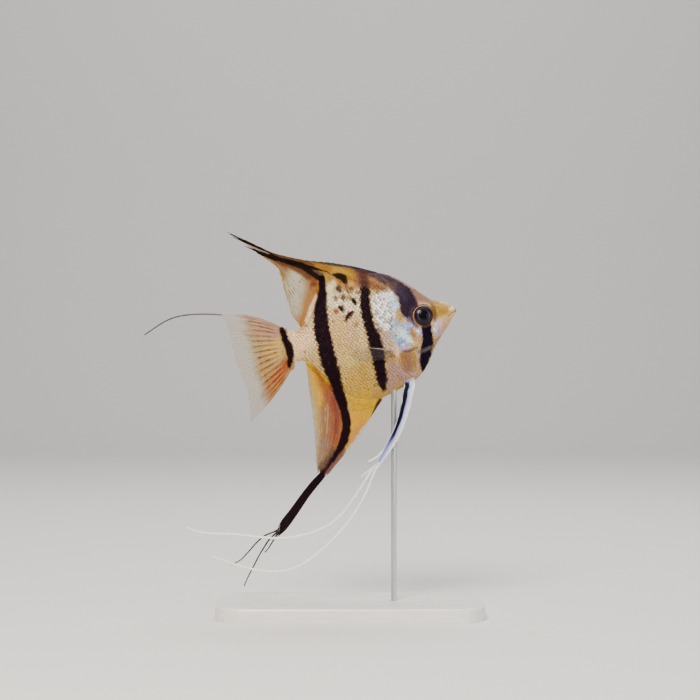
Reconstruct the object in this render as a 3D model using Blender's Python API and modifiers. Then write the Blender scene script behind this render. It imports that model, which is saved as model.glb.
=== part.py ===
"""Freshwater angelfish, a still life-size model held on a plain display stand.

Every part of the fish is drawn in the fish's own frame, in millimetres: s runs back from the
tip of the snout, y to the fish's left and z up, with the body level. An empty then places the
whole fish over the stand, nose up, as it swims. Metres, +Z up, origin under the stand's base.
"""
import bpy
import bmesh
import math
from mathutils import Matrix, Vector

MM = 0.001

# Place and pose
PITCH_DEG = 12.3                      # nose up
SNOUT_AT = Vector((0.0468, 0.0, 0.1334))
GAP = 0.3                             # mm left between neighbouring parts

# Body: outlines as (s, z) and half widths as (s, y), in mm
BODY_LENGTH = 76.4                    # snout to the root of the tail fin
TOP_OUTLINE = (
    (0.0, 0.9), (2.3, 3.3), (5.4, 5.1), (9.7, 6.8), (12.8, 9.8), (17.6, 15.0), (24.9, 20.9),
    (31.5, 23.9), (38.5, 24.6), (46.0, 23.6), (53.0, 20.9), (58.5, 17.2), (63.5, 12.3),
    (67.5, 8.0), (71.5, 6.6), (76.4, 7.6))
BOTTOM_OUTLINE = (
    (0.0, -0.9), (2.4, -2.8), (4.4, -5.2), (8.8, -9.7), (12.6, -14.1), (16.4, -19.8),
    (22.0, -25.2), (29.0, -28.0), (36.6, -30.2), (42.5, -31.2), (48.0, -30.4), (54.0, -27.4),
    (60.0, -21.6), (64.5, -14.6), (68.6, -9.0), (72.2, -7.4), (76.4, -8.6))
HALF_WIDTH = (
    (0.0, 1.2), (3.0, 2.3), (7.0, 3.3), (12.0, 4.5), (18.0, 5.5), (24.0, 6.1), (30.0, 6.3),
    (38.0, 6.0), (46.0, 5.0), (54.0, 3.8), (62.0, 2.7), (70.0, 1.9), (76.4, 1.3))
SECTION_CREST = 1.9                   # powers of the lens-like cross section
SECTION_EDGE = 0.62
SNOUT_ROUND = 1.3
TAIL_ROUND = 0.6
BODY_SEGMENTS = 26
BODY_RINGS = 42

# Lines where the body is parted, as (s, z)
HEAD_LINE = (
    (31.5, 30.0), (29.6, 23.0), (27.4, 12.0), (26.5, 4.5), (27.5, -3.0), (29.1, -10.0),
    (29.6, -16.0), (28.2, -22.0), (25.2, -26.6), (23.5, -36.0))
STALK_LINE = ((67.2, 34.0), (66.4, 0.0), (67.2, -42.0))
MOUTH_LINE = ((-3.0, 0.3), (1.2, -0.5), (3.9, -1.5), (6.9, -4.6), (7.4, -8.0), (7.4, -14.0))
GILL_COVER = (
    (21.6, 3.6), (25.6, 2.4), (27.2, -5.0), (28.5, -11.0), (28.7, -16.0), (27.0, -20.6),
    (23.6, -21.8), (21.6, -16.0), (20.8, -8.0))
GILL_COVER_FROM = 2.3                 # the cover's inner face, out from the middle plane

# Eyes
EYE_AT = (15.2, 3.5, 0.8)
EYE_RADIUS = 4.75
EYE_DEPTH = 2.5
EYE_FACES = (0.15, 1.0, 0.11)         # forward, sideways and up

# Fins as key rays: base s on the body's edge, how far the ray bows, tip (s, z)
DORSAL_RAYS = (
    (31.0, 0.00, (32.6, 25.2)), (37.4, 0.00, (40.7, 28.7)), (43.6, -0.02, (49.8, 32.2)),
    (49.2, 0.05, (61.0, 35.8)), (54.1, 0.07, (75.0, 42.6)), (57.3, 0.06, (93.1, 56.1)),
    (60.7, 0.09, (84.5, 46.4)), (63.6, 0.05, (73.6, 36.8)), (65.9, 0.00, (72.2, 25.0)),
    (67.9, 0.00, (71.3, 13.5)))
ANAL_RAYS = (
    (39.2, 0.00, (41.2, -32.6)), (41.5, 0.00, (44.2, -35.4)), (46.6, 0.02, (53.8, -45.2)),
    (51.6, -0.03, (61.0, -51.2)), (55.5, -0.08, (67.4, -56.3)), (59.0, -0.10, (71.8, -59.6)),
    (62.5, -0.08, (75.2, -57.6)), (65.2, -0.04, (74.6, -52.0)), (67.6, -0.01, (72.4, -38.2)),
    (69.3, 0.00, (70.6, -19.0)))
TAIL_RAYS = (
    (7.4, 0.08, (102.6, 20.4)), (5.6, 0.05, (100.4, 16.0)), (2.6, 0.02, (99.9, 8.0)),
    (-0.6, 0.01, (100.0, -1.4)), (-3.8, 0.01, (98.2, -12.1)), (-6.6, -0.03, (98.0, -21.3)),
    (-8.4, -0.04, (99.0, -29.2)))
PECTORAL_RAYS = (
    (0.0, 0.04, (16.6, 5.4)), (0.7, 0.03, (19.2, 3.4)), (1.5, 0.02, (19.4, 0.9)),
    (2.3, 0.0, (17.2, -1.0)), (3.0, -0.01, (13.4, -2.2)))
PECTORAL_AT = (29.9, -11.3)           # top of the fin's root
PECTORAL_FLARE_DEG = 14.0
FIN_BURIED = 1.6                      # how far a fin's root starts inside the body
FIN_ROOT_THICK = 1.3
FIN_TIP_THICK = 0.55
DORSAL_GRID = (22, 7)
ANAL_GRID = (18, 8)
TAIL_GRID = (14, 7)
PECTORAL_GRID = (10, 5)
DORSAL_SWAY = 1.0                     # how far each fin's far edge leans to the left
ANAL_SWAY = 3.2
TAIL_SWAY = 1.6

# Streamers: routes as (s, y, z) with half widths
ANAL_STREAMER = (
    (73.7, 3.4, -59.1), (77.6, 4.2, -61.8), (82.4, 5.0, -65.6), (89.5, 6.1, -72.3),
    (94.4, 6.7, -76.4), (97.6, 7.0, -79.6))
ANAL_STREAMER_HALF = (2.2, 1.8, 1.7, 1.9, 2.1, 1.8)
ANAL_FILAMENTS = {
    "upper": ((99.0, 6.9, -78.5), (103.7, 6.9, -79.4), (107.9, 6.8, -81.6), (112.3, 6.6, -84.8),
              (116.6, 6.4, -87.6), (121.1, 6.2, -88.9)),
    "middle": ((99.0, 7.3, -80.6), (101.2, 7.4, -83.0), (103.4, 7.4, -85.2), (105.5, 7.3, -86.8)),
    "lower": ((99.2, 7.0, -79.6), (102.4, 7.0, -81.7), (105.4, 7.0, -84.6), (108.4, 7.0, -87.8),
              (111.5, 7.1, -91.6), (114.7, 7.3, -95.4), (117.6, 7.6, -99.4)),
}
ANAL_FILAMENT_RADIUS = 0.38
TAIL_FILAMENT = (
    (103.3, 1.7, 20.5), (106.8, 1.9, 21.4), (112.0, 2.3, 22.5), (118.7, 3.0, 23.3),
    (124.4, 3.7, 22.9), (129.6, 4.4, 21.4), (133.4, 4.9, 19.9), (136.8, 5.3, 18.6))
TAIL_FILAMENT_RADIUS = 0.34
PELVIC_BLADE = (
    (27.6, 2.0, -27.6), (28.9, 2.7, -31.6), (31.4, 3.1, -37.4), (37.0, 3.4, -46.6),
    (43.5, 3.2, -54.0), (48.6, 2.9, -59.2))
PELVIC_BLADE_HALF = (2.3, 2.1, 1.75, 1.5, 1.45, 1.2)
PELVIC_THICK = 0.8
LEFT_FILAMENT = (
    (49.7, 2.8, -59.6), (53.0, 2.7, -62.6), (57.2, 2.6, -66.9), (65.2, 2.6, -74.4),
    (70.6, 2.7, -78.4), (76.1, 2.8, -80.8), (86.0, 3.0, -82.4), (96.4, 3.2, -81.8),
    (106.4, 3.4, -79.1), (116.3, 3.5, -75.8), (122.4, 3.5, -74.3), (128.4, 3.4, -72.7),
    (133.3, 3.2, -70.4), (136.4, 3.0, -68.2))
RIGHT_FILAMENT = (
    (49.2, -3.0, -60.2), (52.2, -3.4, -64.2), (55.8, -3.9, -69.5), (61.0, -4.6, -75.4),
    (66.5, -5.3, -80.6), (74.0, -6.1, -86.0), (80.5, -6.7, -89.8), (87.5, -7.2, -93.1),
    (94.2, -7.5, -94.9), (101.0, -7.6, -94.7), (109.3, -7.5, -92.2), (118.9, -7.2, -87.5),
    (127.3, -6.8, -82.3))
FILAMENT_RADIUS = (0.62, 0.36)        # at the root and at the tip
FILAMENT_STEP = 4.2                   # spacing of the tube's points
FILAMENT_LENGTHS = 2                  # each pelvic filament is divided into two lengths

# Stand, in metres
BASE_SIZE = (0.116, 0.064, 0.006)
BASE_CORNER = 0.014
BASE_EDGE = 0.0008
ROD_RADIUS = 0.0012
ROD_X = 0.0192
ROD_TOP = 0.1015
ROD_IN_BASE = 0.004


def along(stations, x):
    """Value at x of a smooth curve through (x, value) stations."""
    last = len(stations) - 1
    x = min(max(x, stations[0][0]), stations[last][0])
    i = 0
    while i < last - 1 and x > stations[i + 1][0]:
        i += 1

    def slope(k):
        a, b = max(k - 1, 0), min(k + 1, last)
        return (stations[b][1] - stations[a][1]) / (stations[b][0] - stations[a][0])

    (x0, y0), (x1, y1) = stations[i], stations[i + 1]
    span = x1 - x0
    t = (x - x0) / span
    rise0, rise1 = slope(i) * span, slope(i + 1) * span
    return (y0 * (1 + 2 * t) * (1 - t) ** 2 + rise0 * t * (1 - t) ** 2
            + y1 * t * t * (3 - 2 * t) + rise1 * t * t * (t - 1))


def smooth_through(points, u):
    """Point at u in 0..1 on a Catmull-Rom curve through the given points, evenly numbered."""
    last = len(points) - 1
    at = min(max(u, 0.0), 1.0) * last
    i = min(int(at), last - 1)
    t = at - i
    p1, p2 = Vector(points[i]), Vector(points[i + 1])
    p0 = Vector(points[i - 1]) if i > 0 else 2 * p1 - p2
    p3 = Vector(points[i + 2]) if i + 2 <= last else 2 * p2 - p1
    return 0.5 * (2 * p1 + (p2 - p0) * t + (2 * p0 - 5 * p1 + 4 * p2 - p3) * t * t
                  + (3 * p1 - p0 - 3 * p2 + p3) * t ** 3)


def fish(s, y, z):
    """A point of the fish's frame, in mm, as the mesh holds it: snout at the origin, facing +X."""
    return Vector((-s, y, z)) * MM


# ---------------------------------------------------------------- scene and materials

def clear_scene():
    for old in list(bpy.data.objects):
        bpy.data.objects.remove(old)


def collection(name):
    made = bpy.data.collections.new(name)
    bpy.context.scene.collection.children.link(made)
    return made


def material(name, colour, roughness, metallic=0.0):
    made = bpy.data.materials.new(name)
    made.use_nodes = True
    shader = made.node_tree.nodes["Principled BSDF"]
    shader.inputs["Base Color"].default_value = (*colour, 1.0)
    shader.inputs["Roughness"].default_value = roughness
    shader.inputs["Metallic"].default_value = metallic
    return made


clear_scene()
PARTS = collection("angelfish")
CUTTERS = collection("cutters")
POSE = bpy.data.objects.new("fish_pose", None)
PARTS.objects.link(POSE)
POSE.location = SNOUT_AT
POSE.rotation_euler = (0.0, -math.radians(PITCH_DEG), 0.0)


def add_object(name, bm, group, finish=None, parent=POSE):
    """Turns a bmesh into an object of the given collection, held by the fish's pose."""
    mesh = bpy.data.meshes.new(name)
    bm.to_mesh(mesh)
    bm.free()
    made = bpy.data.objects.new(name, mesh)
    group.objects.link(made)
    made.parent = parent
    if finish:
        mesh.materials.append(finish)
        mesh.shade_smooth()
    if group is CUTTERS:
        made.hide_render = True
        made.display_type = 'WIRE'
    return made


def boolean(target, cutter, operation='DIFFERENCE'):
    step = target.modifiers.new(operation.lower(), 'BOOLEAN')
    step.operation = operation
    step.object = cutter
    step.solver = 'EXACT'


# ---------------------------------------------------------------- body

def rounded_end(distance, radius):
    """Factor that closes an outline over a round end."""
    t = min(max(distance / radius, 0.0), 1.0)
    return math.sqrt(1.0 - (1.0 - t) ** 2)


def body_bmesh(grow=0.0):
    """The whole body from snout to tail root, from a sphere whose poles are its two ends."""
    bm = bmesh.new()
    bmesh.ops.create_uvsphere(bm, u_segments=BODY_SEGMENTS, v_segments=BODY_RINGS, radius=1.0)
    for v in bm.verts:
        run = math.acos(min(max(v.co.z, -1.0), 1.0)) / math.pi
        s = BODY_LENGTH * (1.0 - math.cos(math.pi * run)) / 2.0
        closing = rounded_end(s, SNOUT_ROUND) * rounded_end(BODY_LENGTH - s, TAIL_ROUND)
        top, bottom = along(TOP_OUTLINE, s), along(BOTTOM_OUTLINE, s)
        middle, half = (top + bottom) / 2.0, (top - bottom) / 2.0 * closing + grow
        flat = math.hypot(v.co.x, v.co.y)
        up = v.co.x / flat if flat > 1e-6 else 0.0
        side = math.copysign((1.0 - min(abs(up), 1.0) ** SECTION_CREST) ** SECTION_EDGE, v.co.y)
        width = along(HALF_WIDTH, s) * closing + grow
        if flat <= 1e-6:
            half = width = 0.0
        reach = s - grow * math.cos(math.pi * run)
        v.co = fish(reach, side * width, middle + up * half)
    bmesh.ops.reverse_faces(bm, faces=bm.faces)
    return bm


def offset_line(points, distance, samples=22):
    """A smooth line through (s, z) points, moved sideways by a distance."""
    line = [smooth_through(points, i / (samples - 1)) for i in range(samples)]
    moved = []
    for i, p in enumerate(line):
        run = (line[min(i + 1, samples - 1)] - line[max(i - 1, 0)]).normalized()
        moved.append(Vector((p.x - run.y * distance, p.y + run.x * distance)))
    return moved


def prism(name, outline, y_from=-12.0, y_to=12.0):
    """A cutter: a flat (s, z) outline extruded across the body."""
    bm = bmesh.new()
    loop = [bm.verts.new(fish(p[0], y_from, p[1])) for p in outline]
    face = bm.faces.new(loop)
    raised = bmesh.ops.extrude_face_region(bm, geom=[face])["geom"]
    top = [v for v in raised if isinstance(v, bmesh.types.BMVert)]
    bmesh.ops.translate(bm, verts=top, vec=(0.0, (y_to - y_from) * MM, 0.0))
    bmesh.ops.recalc_face_normals(bm, faces=bm.faces)
    return add_object(name, bm, CUTTERS)


def head_region(name):
    line = offset_line(HEAD_LINE, -GAP / 2)
    return prism(name, [(-6.0, 34.0)] + line + [(-6.0, -38.0)])


def trunk_region(name):
    front, rear = offset_line(HEAD_LINE, GAP / 2), offset_line(STALK_LINE, -GAP / 2)
    return prism(name, front + rear[::-1])


def stalk_region(name):
    return prism(name, offset_line(STALK_LINE, GAP / 2) + [(84.0, -42.0), (84.0, 34.0)])


def jaw_region(name, side):
    line = offset_line(MOUTH_LINE, side * GAP / 2)
    return prism(name, line + [(-3.0, -14.0)])


def gill_region(name, sign, grow):
    """The gill cover's outline as a slab, from its inner face out past the flank."""
    closed = GILL_COVER + GILL_COVER[:1]
    loop = offset_line(closed, grow, 34)[:-1]
    inner = GILL_COVER_FROM - grow
    return prism(name, loop, min(sign * inner, sign * 9.0), max(sign * inner, sign * 9.0))


def eyeball(name, sign, grow, group, finish=None):
    bm = bmesh.new()
    bmesh.ops.create_uvsphere(bm, u_segments=22, v_segments=10, radius=1.0)
    wide, deep = EYE_RADIUS + grow, EYE_DEPTH + grow
    bmesh.ops.scale(bm, vec=(wide, wide, deep), verts=bm.verts)
    facing = Vector((EYE_FACES[0], sign * EYE_FACES[1], EYE_FACES[2]))
    turn = facing.to_track_quat('Z', 'Y').to_matrix()
    bmesh.ops.rotate(bm, matrix=turn, verts=bm.verts)
    s, y, z = EYE_AT
    bmesh.ops.scale(bm, vec=(MM, MM, MM), verts=bm.verts)
    bmesh.ops.translate(bm, vec=fish(s, sign * y, z), verts=bm.verts)
    return add_object(name, bm, group, finish)


def build_body(skin, silver, eye):
    """Head, jaw, gill covers, trunk and tail stalk, all cut from one body."""
    head = add_object("head", body_bmesh(), PARTS, skin)
    boolean(head, head_region("cut_head"), 'INTERSECT')
    boolean(head, jaw_region("cut_mouth", 1))
    jaw = add_object("lower_jaw", body_bmesh(), PARTS, silver)
    boolean(jaw, jaw_region("cut_jaw", -1), 'INTERSECT')
    for side, sign in (("left", 1), ("right", -1)):
        cover = add_object(f"gill_cover_{side}", body_bmesh(), PARTS, silver)
        boolean(cover, gill_region(f"cut_cover_{side}", sign, 0.0), 'INTERSECT')
        boolean(head, gill_region(f"cut_gill_{side}", sign, GAP))
        eyeball(f"eye_{side}", sign, 0.0, PARTS, eye)
        boolean(head, eyeball(f"cut_eye_{side}", sign, GAP, CUTTERS))
    trunk = add_object("trunk", body_bmesh(), PARTS, skin)
    boolean(trunk, trunk_region("cut_trunk"), 'INTERSECT')
    stalk = add_object("tail_stalk", body_bmesh(), PARTS, skin)
    boolean(stalk, stalk_region("cut_stalk"), 'INTERSECT')
    return head, trunk


# ---------------------------------------------------------------- fins

def plate(name, grid, surface, thickness, finish):
    """A fin: an open grid bent onto surface(u, v), given its thickness by Solidify."""
    bm = bmesh.new()
    bmesh.ops.create_grid(bm, x_segments=grid[0], y_segments=grid[1], size=1.0)
    places = [((v.co.x + 1.0) / 2.0, (v.co.y + 1.0) / 2.0) for v in bm.verts]
    for v, (u, w) in zip(bm.verts, places):
        v.co = fish(*surface(u, w))
    made = add_object(name, bm, PARTS, finish)
    group = made.vertex_groups.new(name="thickness")
    most = max(thickness(u, w) for u, w in places)
    least = min(thickness(u, w) for u, w in places)
    for i, (u, w) in enumerate(places):
        group.add([i], (thickness(u, w) - least) / max(most - least, 1e-6), 'REPLACE')
    wall = made.modifiers.new("thickness", 'SOLIDIFY')
    wall.thickness = most * MM
    wall.offset = 0.0
    wall.vertex_group = group.name
    wall.thickness_vertex_group = least / most
    return made


def ray_point(base, bow, tip, v):
    """Point at v along a bowed fin ray from base to tip, both (s, z)."""
    base, tip = Vector(base), Vector(tip)
    run = tip - base
    across = Vector((-run.y, run.x)) * bow * 2.0
    middle = (base + tip) / 2.0 + across
    return base * (1 - v) ** 2 + middle * 2 * v * (1 - v) + tip * v * v


def fan(rays, root, sway, lag=2.0):
    """The surface of a fin whose rays are read between its key rays.

    root gives the (s, z) of a ray's base, and the fin leans to the left by sway at its far edge.
    """
    keys = [(*root(base), bow, *tip) for base, bow, tip in rays]
    longest = max((Vector(k[3:5]) - Vector(k[0:2])).length for k in keys)

    def surface(u, v):
        low = int(min(u * (len(keys) - 1), len(keys) - 2))
        near = [Vector(k[:2]) for k in keys], [Vector((k[2], 0.0)) for k in keys]
        tips = [Vector(k[3:5]) for k in keys]
        base, bow = smooth_through(near[0], u), smooth_through(near[1], u).x
        blend = u * (len(keys) - 1) - low
        straight = tips[low].lerp(tips[low + 1], blend)
        tip = straight.lerp(smooth_through(tips, u), 0.6)
        p = ray_point(base, bow, tip, v)
        out = (p - base).length / longest
        return p.x, sway * out ** lag, p.y

    return surface


def fin_taper(u, v):
    return FIN_ROOT_THICK + (FIN_TIP_THICK - FIN_ROOT_THICK) * min(v * 1.6, 1.0)


def build_unpaired_fins(finishes, around_body):
    """Dorsal, anal and tail fins, each cut to the body with a small gap."""
    dorsal = plate("fin_dorsal", DORSAL_GRID, fan(
        DORSAL_RAYS, lambda s: (s, along(TOP_OUTLINE, s) - FIN_BURIED), DORSAL_SWAY),
        fin_taper, finishes["dorsal"])
    anal = plate("fin_anal", ANAL_GRID, fan(
        ANAL_RAYS, lambda s: (s, along(BOTTOM_OUTLINE, s) + FIN_BURIED), ANAL_SWAY),
        fin_taper, finishes["anal"])
    tail = plate("fin_tail", TAIL_GRID, fan(
        TAIL_RAYS, lambda z: (BODY_LENGTH - FIN_BURIED, z), TAIL_SWAY),
        fin_taper, finishes["tail"])
    for fin in (dorsal, anal, tail):
        boolean(fin, around_body)
    boolean(anal, past_streamer_root())


def build_pectorals(finish, around_body):
    """Clear paddles behind the gill covers, held back along the flanks."""
    flare = math.tan(math.radians(PECTORAL_FLARE_DEG))
    root_s, root_z = PECTORAL_AT
    for side, sign in (("left", 1), ("right", -1)):
        flat = fan(PECTORAL_RAYS, lambda down: (0.0, -down), 0.0)

        def surface(u, v, flat=flat, sign=sign):
            s, _, z = flat(u, v)
            out = along(HALF_WIDTH, root_s) - 1.1 + s * flare
            return root_s + s, sign * out, root_z + z

        fin = plate(f"fin_pectoral_{side}", PECTORAL_GRID, surface,
                    lambda u, v: FIN_TIP_THICK, finish)
        boolean(fin, around_body)


def ribbon(name, route, halves, thick, finish, grid, cutter=None):
    """A flat streamer along a route of (s, y, z), whose width lies in the fish's plane."""
    def surface(u, w):
        here = smooth_through(route, u)
        run = smooth_through(route, min(u + 0.02, 1.0)) - smooth_through(route, max(u - 0.02, 0.0))
        across = Vector((-run.z, 0.0, run.x)).normalized()
        half = smooth_through([(h, 0.0) for h in halves], u).x
        return tuple(here + across * half * (2.0 * w - 1.0))

    made = plate(name, grid, surface, lambda u, w: thick, finish)
    if cutter:
        boolean(made, cutter)
    return made


def tube(name, points, radii, finish):
    """A tapering filament: a bevelled curve through points of the fish's frame."""
    data = bpy.data.curves.new(name, 'CURVE')
    data.dimensions = '3D'
    data.bevel_depth = MM
    data.bevel_resolution = 2
    data.use_fill_caps = True
    line = data.splines.new('POLY')
    line.points.add(len(points) - 1)
    for i, p in enumerate(points):
        t = i / (len(points) - 1)
        line.points[i].co = (*fish(*p), 1.0)
        line.points[i].radius = radii[0] + (radii[1] - radii[0]) * t
    data.materials.append(finish)
    made = bpy.data.objects.new(name, data)
    PARTS.objects.link(made)
    made.parent = POSE
    return made


def route_length(route, samples=200):
    walk = [smooth_through(route, i / samples) for i in range(samples + 1)]
    return walk, sum((b - a).length for a, b in zip(walk, walk[1:]))


def even_points(route, start, stop):
    """Points spaced evenly along a route, from one distance along it to another."""
    walk, _ = route_length(route)
    count = max(3, round((stop - start) / FILAMENT_STEP) + 1)
    targets = [start + (stop - start) * i / (count - 1) for i in range(count)]
    found, gone = [], 0.0
    for a, b in zip(walk, walk[1:]):
        step = (b - a).length
        while len(found) < count and targets[len(found)] <= gone + step + 1e-6:
            found.append(a.lerp(b, min(max((targets[len(found)] - gone) / step, 0.0), 1.0)))
        gone += step
    return found


def filament(name, route, radii, finish, lengths=1):
    """A filament in one or more lengths, with a gap between each and the next."""
    _, whole = route_length(route)
    each = whole / lengths
    for k in range(lengths):
        start, stop = k * each, (k + 1) * each - (GAP if k < lengths - 1 else 0.0)
        ends = [radii[0] + (radii[1] - radii[0]) * d / whole for d in (start, stop)]
        label = name if lengths == 1 else f"{name}_{k + 1}"
        tube(label, even_points(route, start, stop), ends, finish)


def past_streamer_root():
    """A cutter that clears the anal fin from the streamer's root onwards."""
    root, after = (Vector((p[0], p[2])) for p in ANAL_STREAMER[:2])
    run = (after - root).normalized()
    across = Vector((-run.y, run.x)) * 9.0
    near, far = root - run * GAP, root + run * 20.0
    return prism("cut_streamer_root", [near - across, near + across, far + across, far - across])


def build_streamers(finishes, around_body):
    """The anal fin's dark streamer, the tail's hair-thin one and the two pelvic fins."""
    ribbon("anal_streamer", ANAL_STREAMER, ANAL_STREAMER_HALF, 0.8, finishes["dark"], (16, 2))
    for label, route in ANAL_FILAMENTS.items():
        filament(f"anal_filament_{label}", route, (ANAL_FILAMENT_RADIUS, 0.28), finishes["dark"])
    filament("tail_filament", TAIL_FILAMENT, (TAIL_FILAMENT_RADIUS, 0.27), finishes["dark"])
    for side, sign, route in (("left", 1, LEFT_FILAMENT), ("right", -1, RIGHT_FILAMENT)):
        blade = [(s, sign * y, z) for s, y, z in PELVIC_BLADE]
        ribbon(f"fin_pelvic_{side}", blade, PELVIC_BLADE_HALF, PELVIC_THICK,
               finishes["pelvic"], (14, 2), around_body)
        filament(f"pelvic_filament_{side}", route, FILAMENT_RADIUS, finishes["pale"],
                 FILAMENT_LENGTHS)


# ---------------------------------------------------------------- stand

def rod_bmesh(radius, bottom, top, sides=20):
    bm = bmesh.new()
    bmesh.ops.create_cone(bm, cap_ends=True, segments=sides, radius1=radius, radius2=radius,
                          depth=top - bottom,
                          matrix=Matrix.Translation((ROD_X, 0.0, (top + bottom) / 2.0)))
    return bm


def build_stand(finishes, trunk):
    """A rounded flat base with one rod, which stands in the base and ends inside the belly."""
    gap = GAP * MM
    rod_foot = BASE_SIZE[2] - ROD_IN_BASE
    bm = bmesh.new()
    bmesh.ops.create_cube(bm, size=1.0)
    bmesh.ops.scale(bm, vec=BASE_SIZE, verts=bm.verts)
    bmesh.ops.translate(bm, vec=(0.0, 0.0, BASE_SIZE[2] / 2.0), verts=bm.verts)
    upright = [e for e in bm.edges if abs(e.verts[0].co.z - e.verts[1].co.z) > 1e-6]
    bmesh.ops.bevel(bm, geom=upright, offset=BASE_CORNER, segments=6, affect='EDGES',
                    profile=0.5)
    rim = [e for e in bm.edges if min(v.co.z for v in e.verts) > BASE_SIZE[2] - 1e-6]
    bmesh.ops.bevel(bm, geom=rim, offset=BASE_EDGE, segments=2, affect='EDGES', profile=0.5)
    base = add_object("stand_base", bm, PARTS, finishes["base"], parent=None)
    add_object("stand_rod", rod_bmesh(ROD_RADIUS, rod_foot, ROD_TOP), PARTS, finishes["steel"],
               parent=None)
    hole = add_object("cut_rod", rod_bmesh(ROD_RADIUS + gap, rod_foot - gap, ROD_TOP + gap),
                      CUTTERS, parent=None)
    boolean(base, hole)
    boolean(trunk, hole)


def main():
    skin = material("skin", (0.60, 0.52, 0.40), 0.35)
    silver = material("silver_skin", (0.72, 0.72, 0.70), 0.28, 0.1)
    eye = material("eye", (0.05, 0.03, 0.05), 0.08)
    finishes = {
        "dorsal": material("dorsal_fin", (0.42, 0.24, 0.10), 0.45),
        "anal": material("anal_fin", (0.36, 0.20, 0.10), 0.45),
        "tail": material("tail_fin", (0.48, 0.42, 0.30), 0.45),
        "clear": material("clear_fin", (0.70, 0.68, 0.60), 0.35),
        "pelvic": material("pelvic_fin", (0.50, 0.52, 0.75), 0.4),
        "pale": material("pale_filament", (0.88, 0.90, 0.88), 0.4),
        "dark": material("dark_filament", (0.03, 0.015, 0.02), 0.4),
        "base": material("white_acrylic", (0.80, 0.80, 0.78), 0.3),
        "steel": material("brushed_steel", (0.60, 0.60, 0.60), 0.3, 1.0),
    }
    _, trunk = build_body(skin, silver, eye)
    around_body = add_object("cut_around_body", body_bmesh(GAP), CUTTERS)
    build_unpaired_fins(finishes, around_body)
    build_pectorals(finishes["clear"], around_body)
    build_streamers(finishes, around_body)
    build_stand(finishes, trunk)


main()
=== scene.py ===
"""A freshwater angelfish on a display stand: the finished model over its CAD frame.

One skin with folds and markings carries rows of solid scales, rayed fins, trailing filaments and
two deep-set eyes. Sizes are millimetres in the fish's own frame: s behind the snout, y to the
fish's left, z up. Pose turns them into the metres of the room.
"""

import logging
import math
from dataclasses import dataclass
from enum import Enum
from typing import Callable, Dict, List, Optional, Sequence, Tuple

import bpy
import numpy as np
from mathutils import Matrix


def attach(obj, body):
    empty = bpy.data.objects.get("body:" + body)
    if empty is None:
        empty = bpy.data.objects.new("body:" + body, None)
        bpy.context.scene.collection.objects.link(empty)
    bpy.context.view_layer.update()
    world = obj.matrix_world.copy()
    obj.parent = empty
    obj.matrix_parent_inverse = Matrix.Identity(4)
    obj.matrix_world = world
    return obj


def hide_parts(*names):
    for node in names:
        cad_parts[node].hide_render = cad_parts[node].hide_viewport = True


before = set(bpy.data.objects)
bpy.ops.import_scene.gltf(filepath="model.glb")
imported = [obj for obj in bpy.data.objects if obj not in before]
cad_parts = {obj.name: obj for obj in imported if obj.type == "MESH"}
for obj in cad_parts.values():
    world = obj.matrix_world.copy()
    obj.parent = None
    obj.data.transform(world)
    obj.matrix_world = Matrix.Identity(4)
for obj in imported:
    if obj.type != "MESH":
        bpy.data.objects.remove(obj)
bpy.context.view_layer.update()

log = logging.getLogger("angelfish")

Array = np.ndarray
Stations = Tuple[Tuple[float, float], ...]
Route = Tuple[Tuple[float, float, float], ...]
RayKeys = Tuple[Tuple[float, float, Tuple[float, float]], ...]

BODY = "root"
MM = 0.001
# How wide one scale's patch is on a flat pattern, and which wandering edges the left flank has.
PATCH = 0.0015
LEFT_SEED = 31


class Side(Enum):
    """A flank of the fish, valued by the sign of its sideways axis."""

    RIGHT = -1
    LEFT = 1

    @property
    def word(self) -> str:
        """The side's name as the pieces carry it."""
        return self.name.lower()


# ---------------------------------------------------------------- curves and noise


def along(stations: Stations, x: Array) -> Array:
    """Reads a smooth curve through stations.

    Args:
        stations: (x, y) pairs in rising x.
        x: Places to read, clamped to the ends.

    Returns:
        The curve's y at each place.
    """
    xs, ys = np.array(stations, float).T
    x = np.clip(np.asarray(x, float), xs[0], xs[-1])
    last = len(xs) - 1
    i = np.clip(np.searchsorted(xs, x, side="right") - 1, 0, last - 1)
    k = np.arange(last + 1)
    before, after = np.maximum(k - 1, 0), np.minimum(k + 1, last)
    slope = (ys[after] - ys[before]) / (xs[after] - xs[before])
    width = xs[i + 1] - xs[i]
    t = (x - xs[i]) / width
    return (ys[i] * (1 + 2 * t) * (1 - t) ** 2 + slope[i] * width * t * (1 - t) ** 2
            + ys[i + 1] * t * t * (3 - 2 * t) + slope[i + 1] * width * t * t * (t - 1))


def smooth_through(points: Sequence[Sequence[float]], u: Array) -> Array:
    """Runs an evenly timed smooth curve through points.

    Args:
        points: The points passed, each of one or more numbers.
        u: Places along the whole curve, 0 to 1.

    Returns:
        The curve's points, with the numbers of a point on the last axis.
    """
    p = np.array(points, float).reshape(len(points), -1)
    last = len(p) - 1
    at = np.clip(np.asarray(u, float), 0, 1) * last
    i = np.clip(np.floor(at).astype(int), 0, last - 1)
    t = (at - i)[..., None]
    p = np.vstack([2 * p[0] - p[1], p, 2 * p[-1] - p[-2]])
    p0, p1, p2, p3 = p[i], p[i + 1], p[i + 2], p[i + 3]
    return 0.5 * (2 * p1 + (p2 - p0) * t + (2 * p0 - 5 * p1 + 4 * p2 - p3) * t ** 2
                  + (3 * p1 - p0 - 3 * p2 + p3) * t ** 3)


def smoothstep(low: float, high: float, x: Array) -> Array:
    """Eases from 0 at low to 1 at high."""
    t = np.clip((np.asarray(x, float) - low) / (high - low), 0, 1)
    return t * t * (3 - 2 * t)


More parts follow.
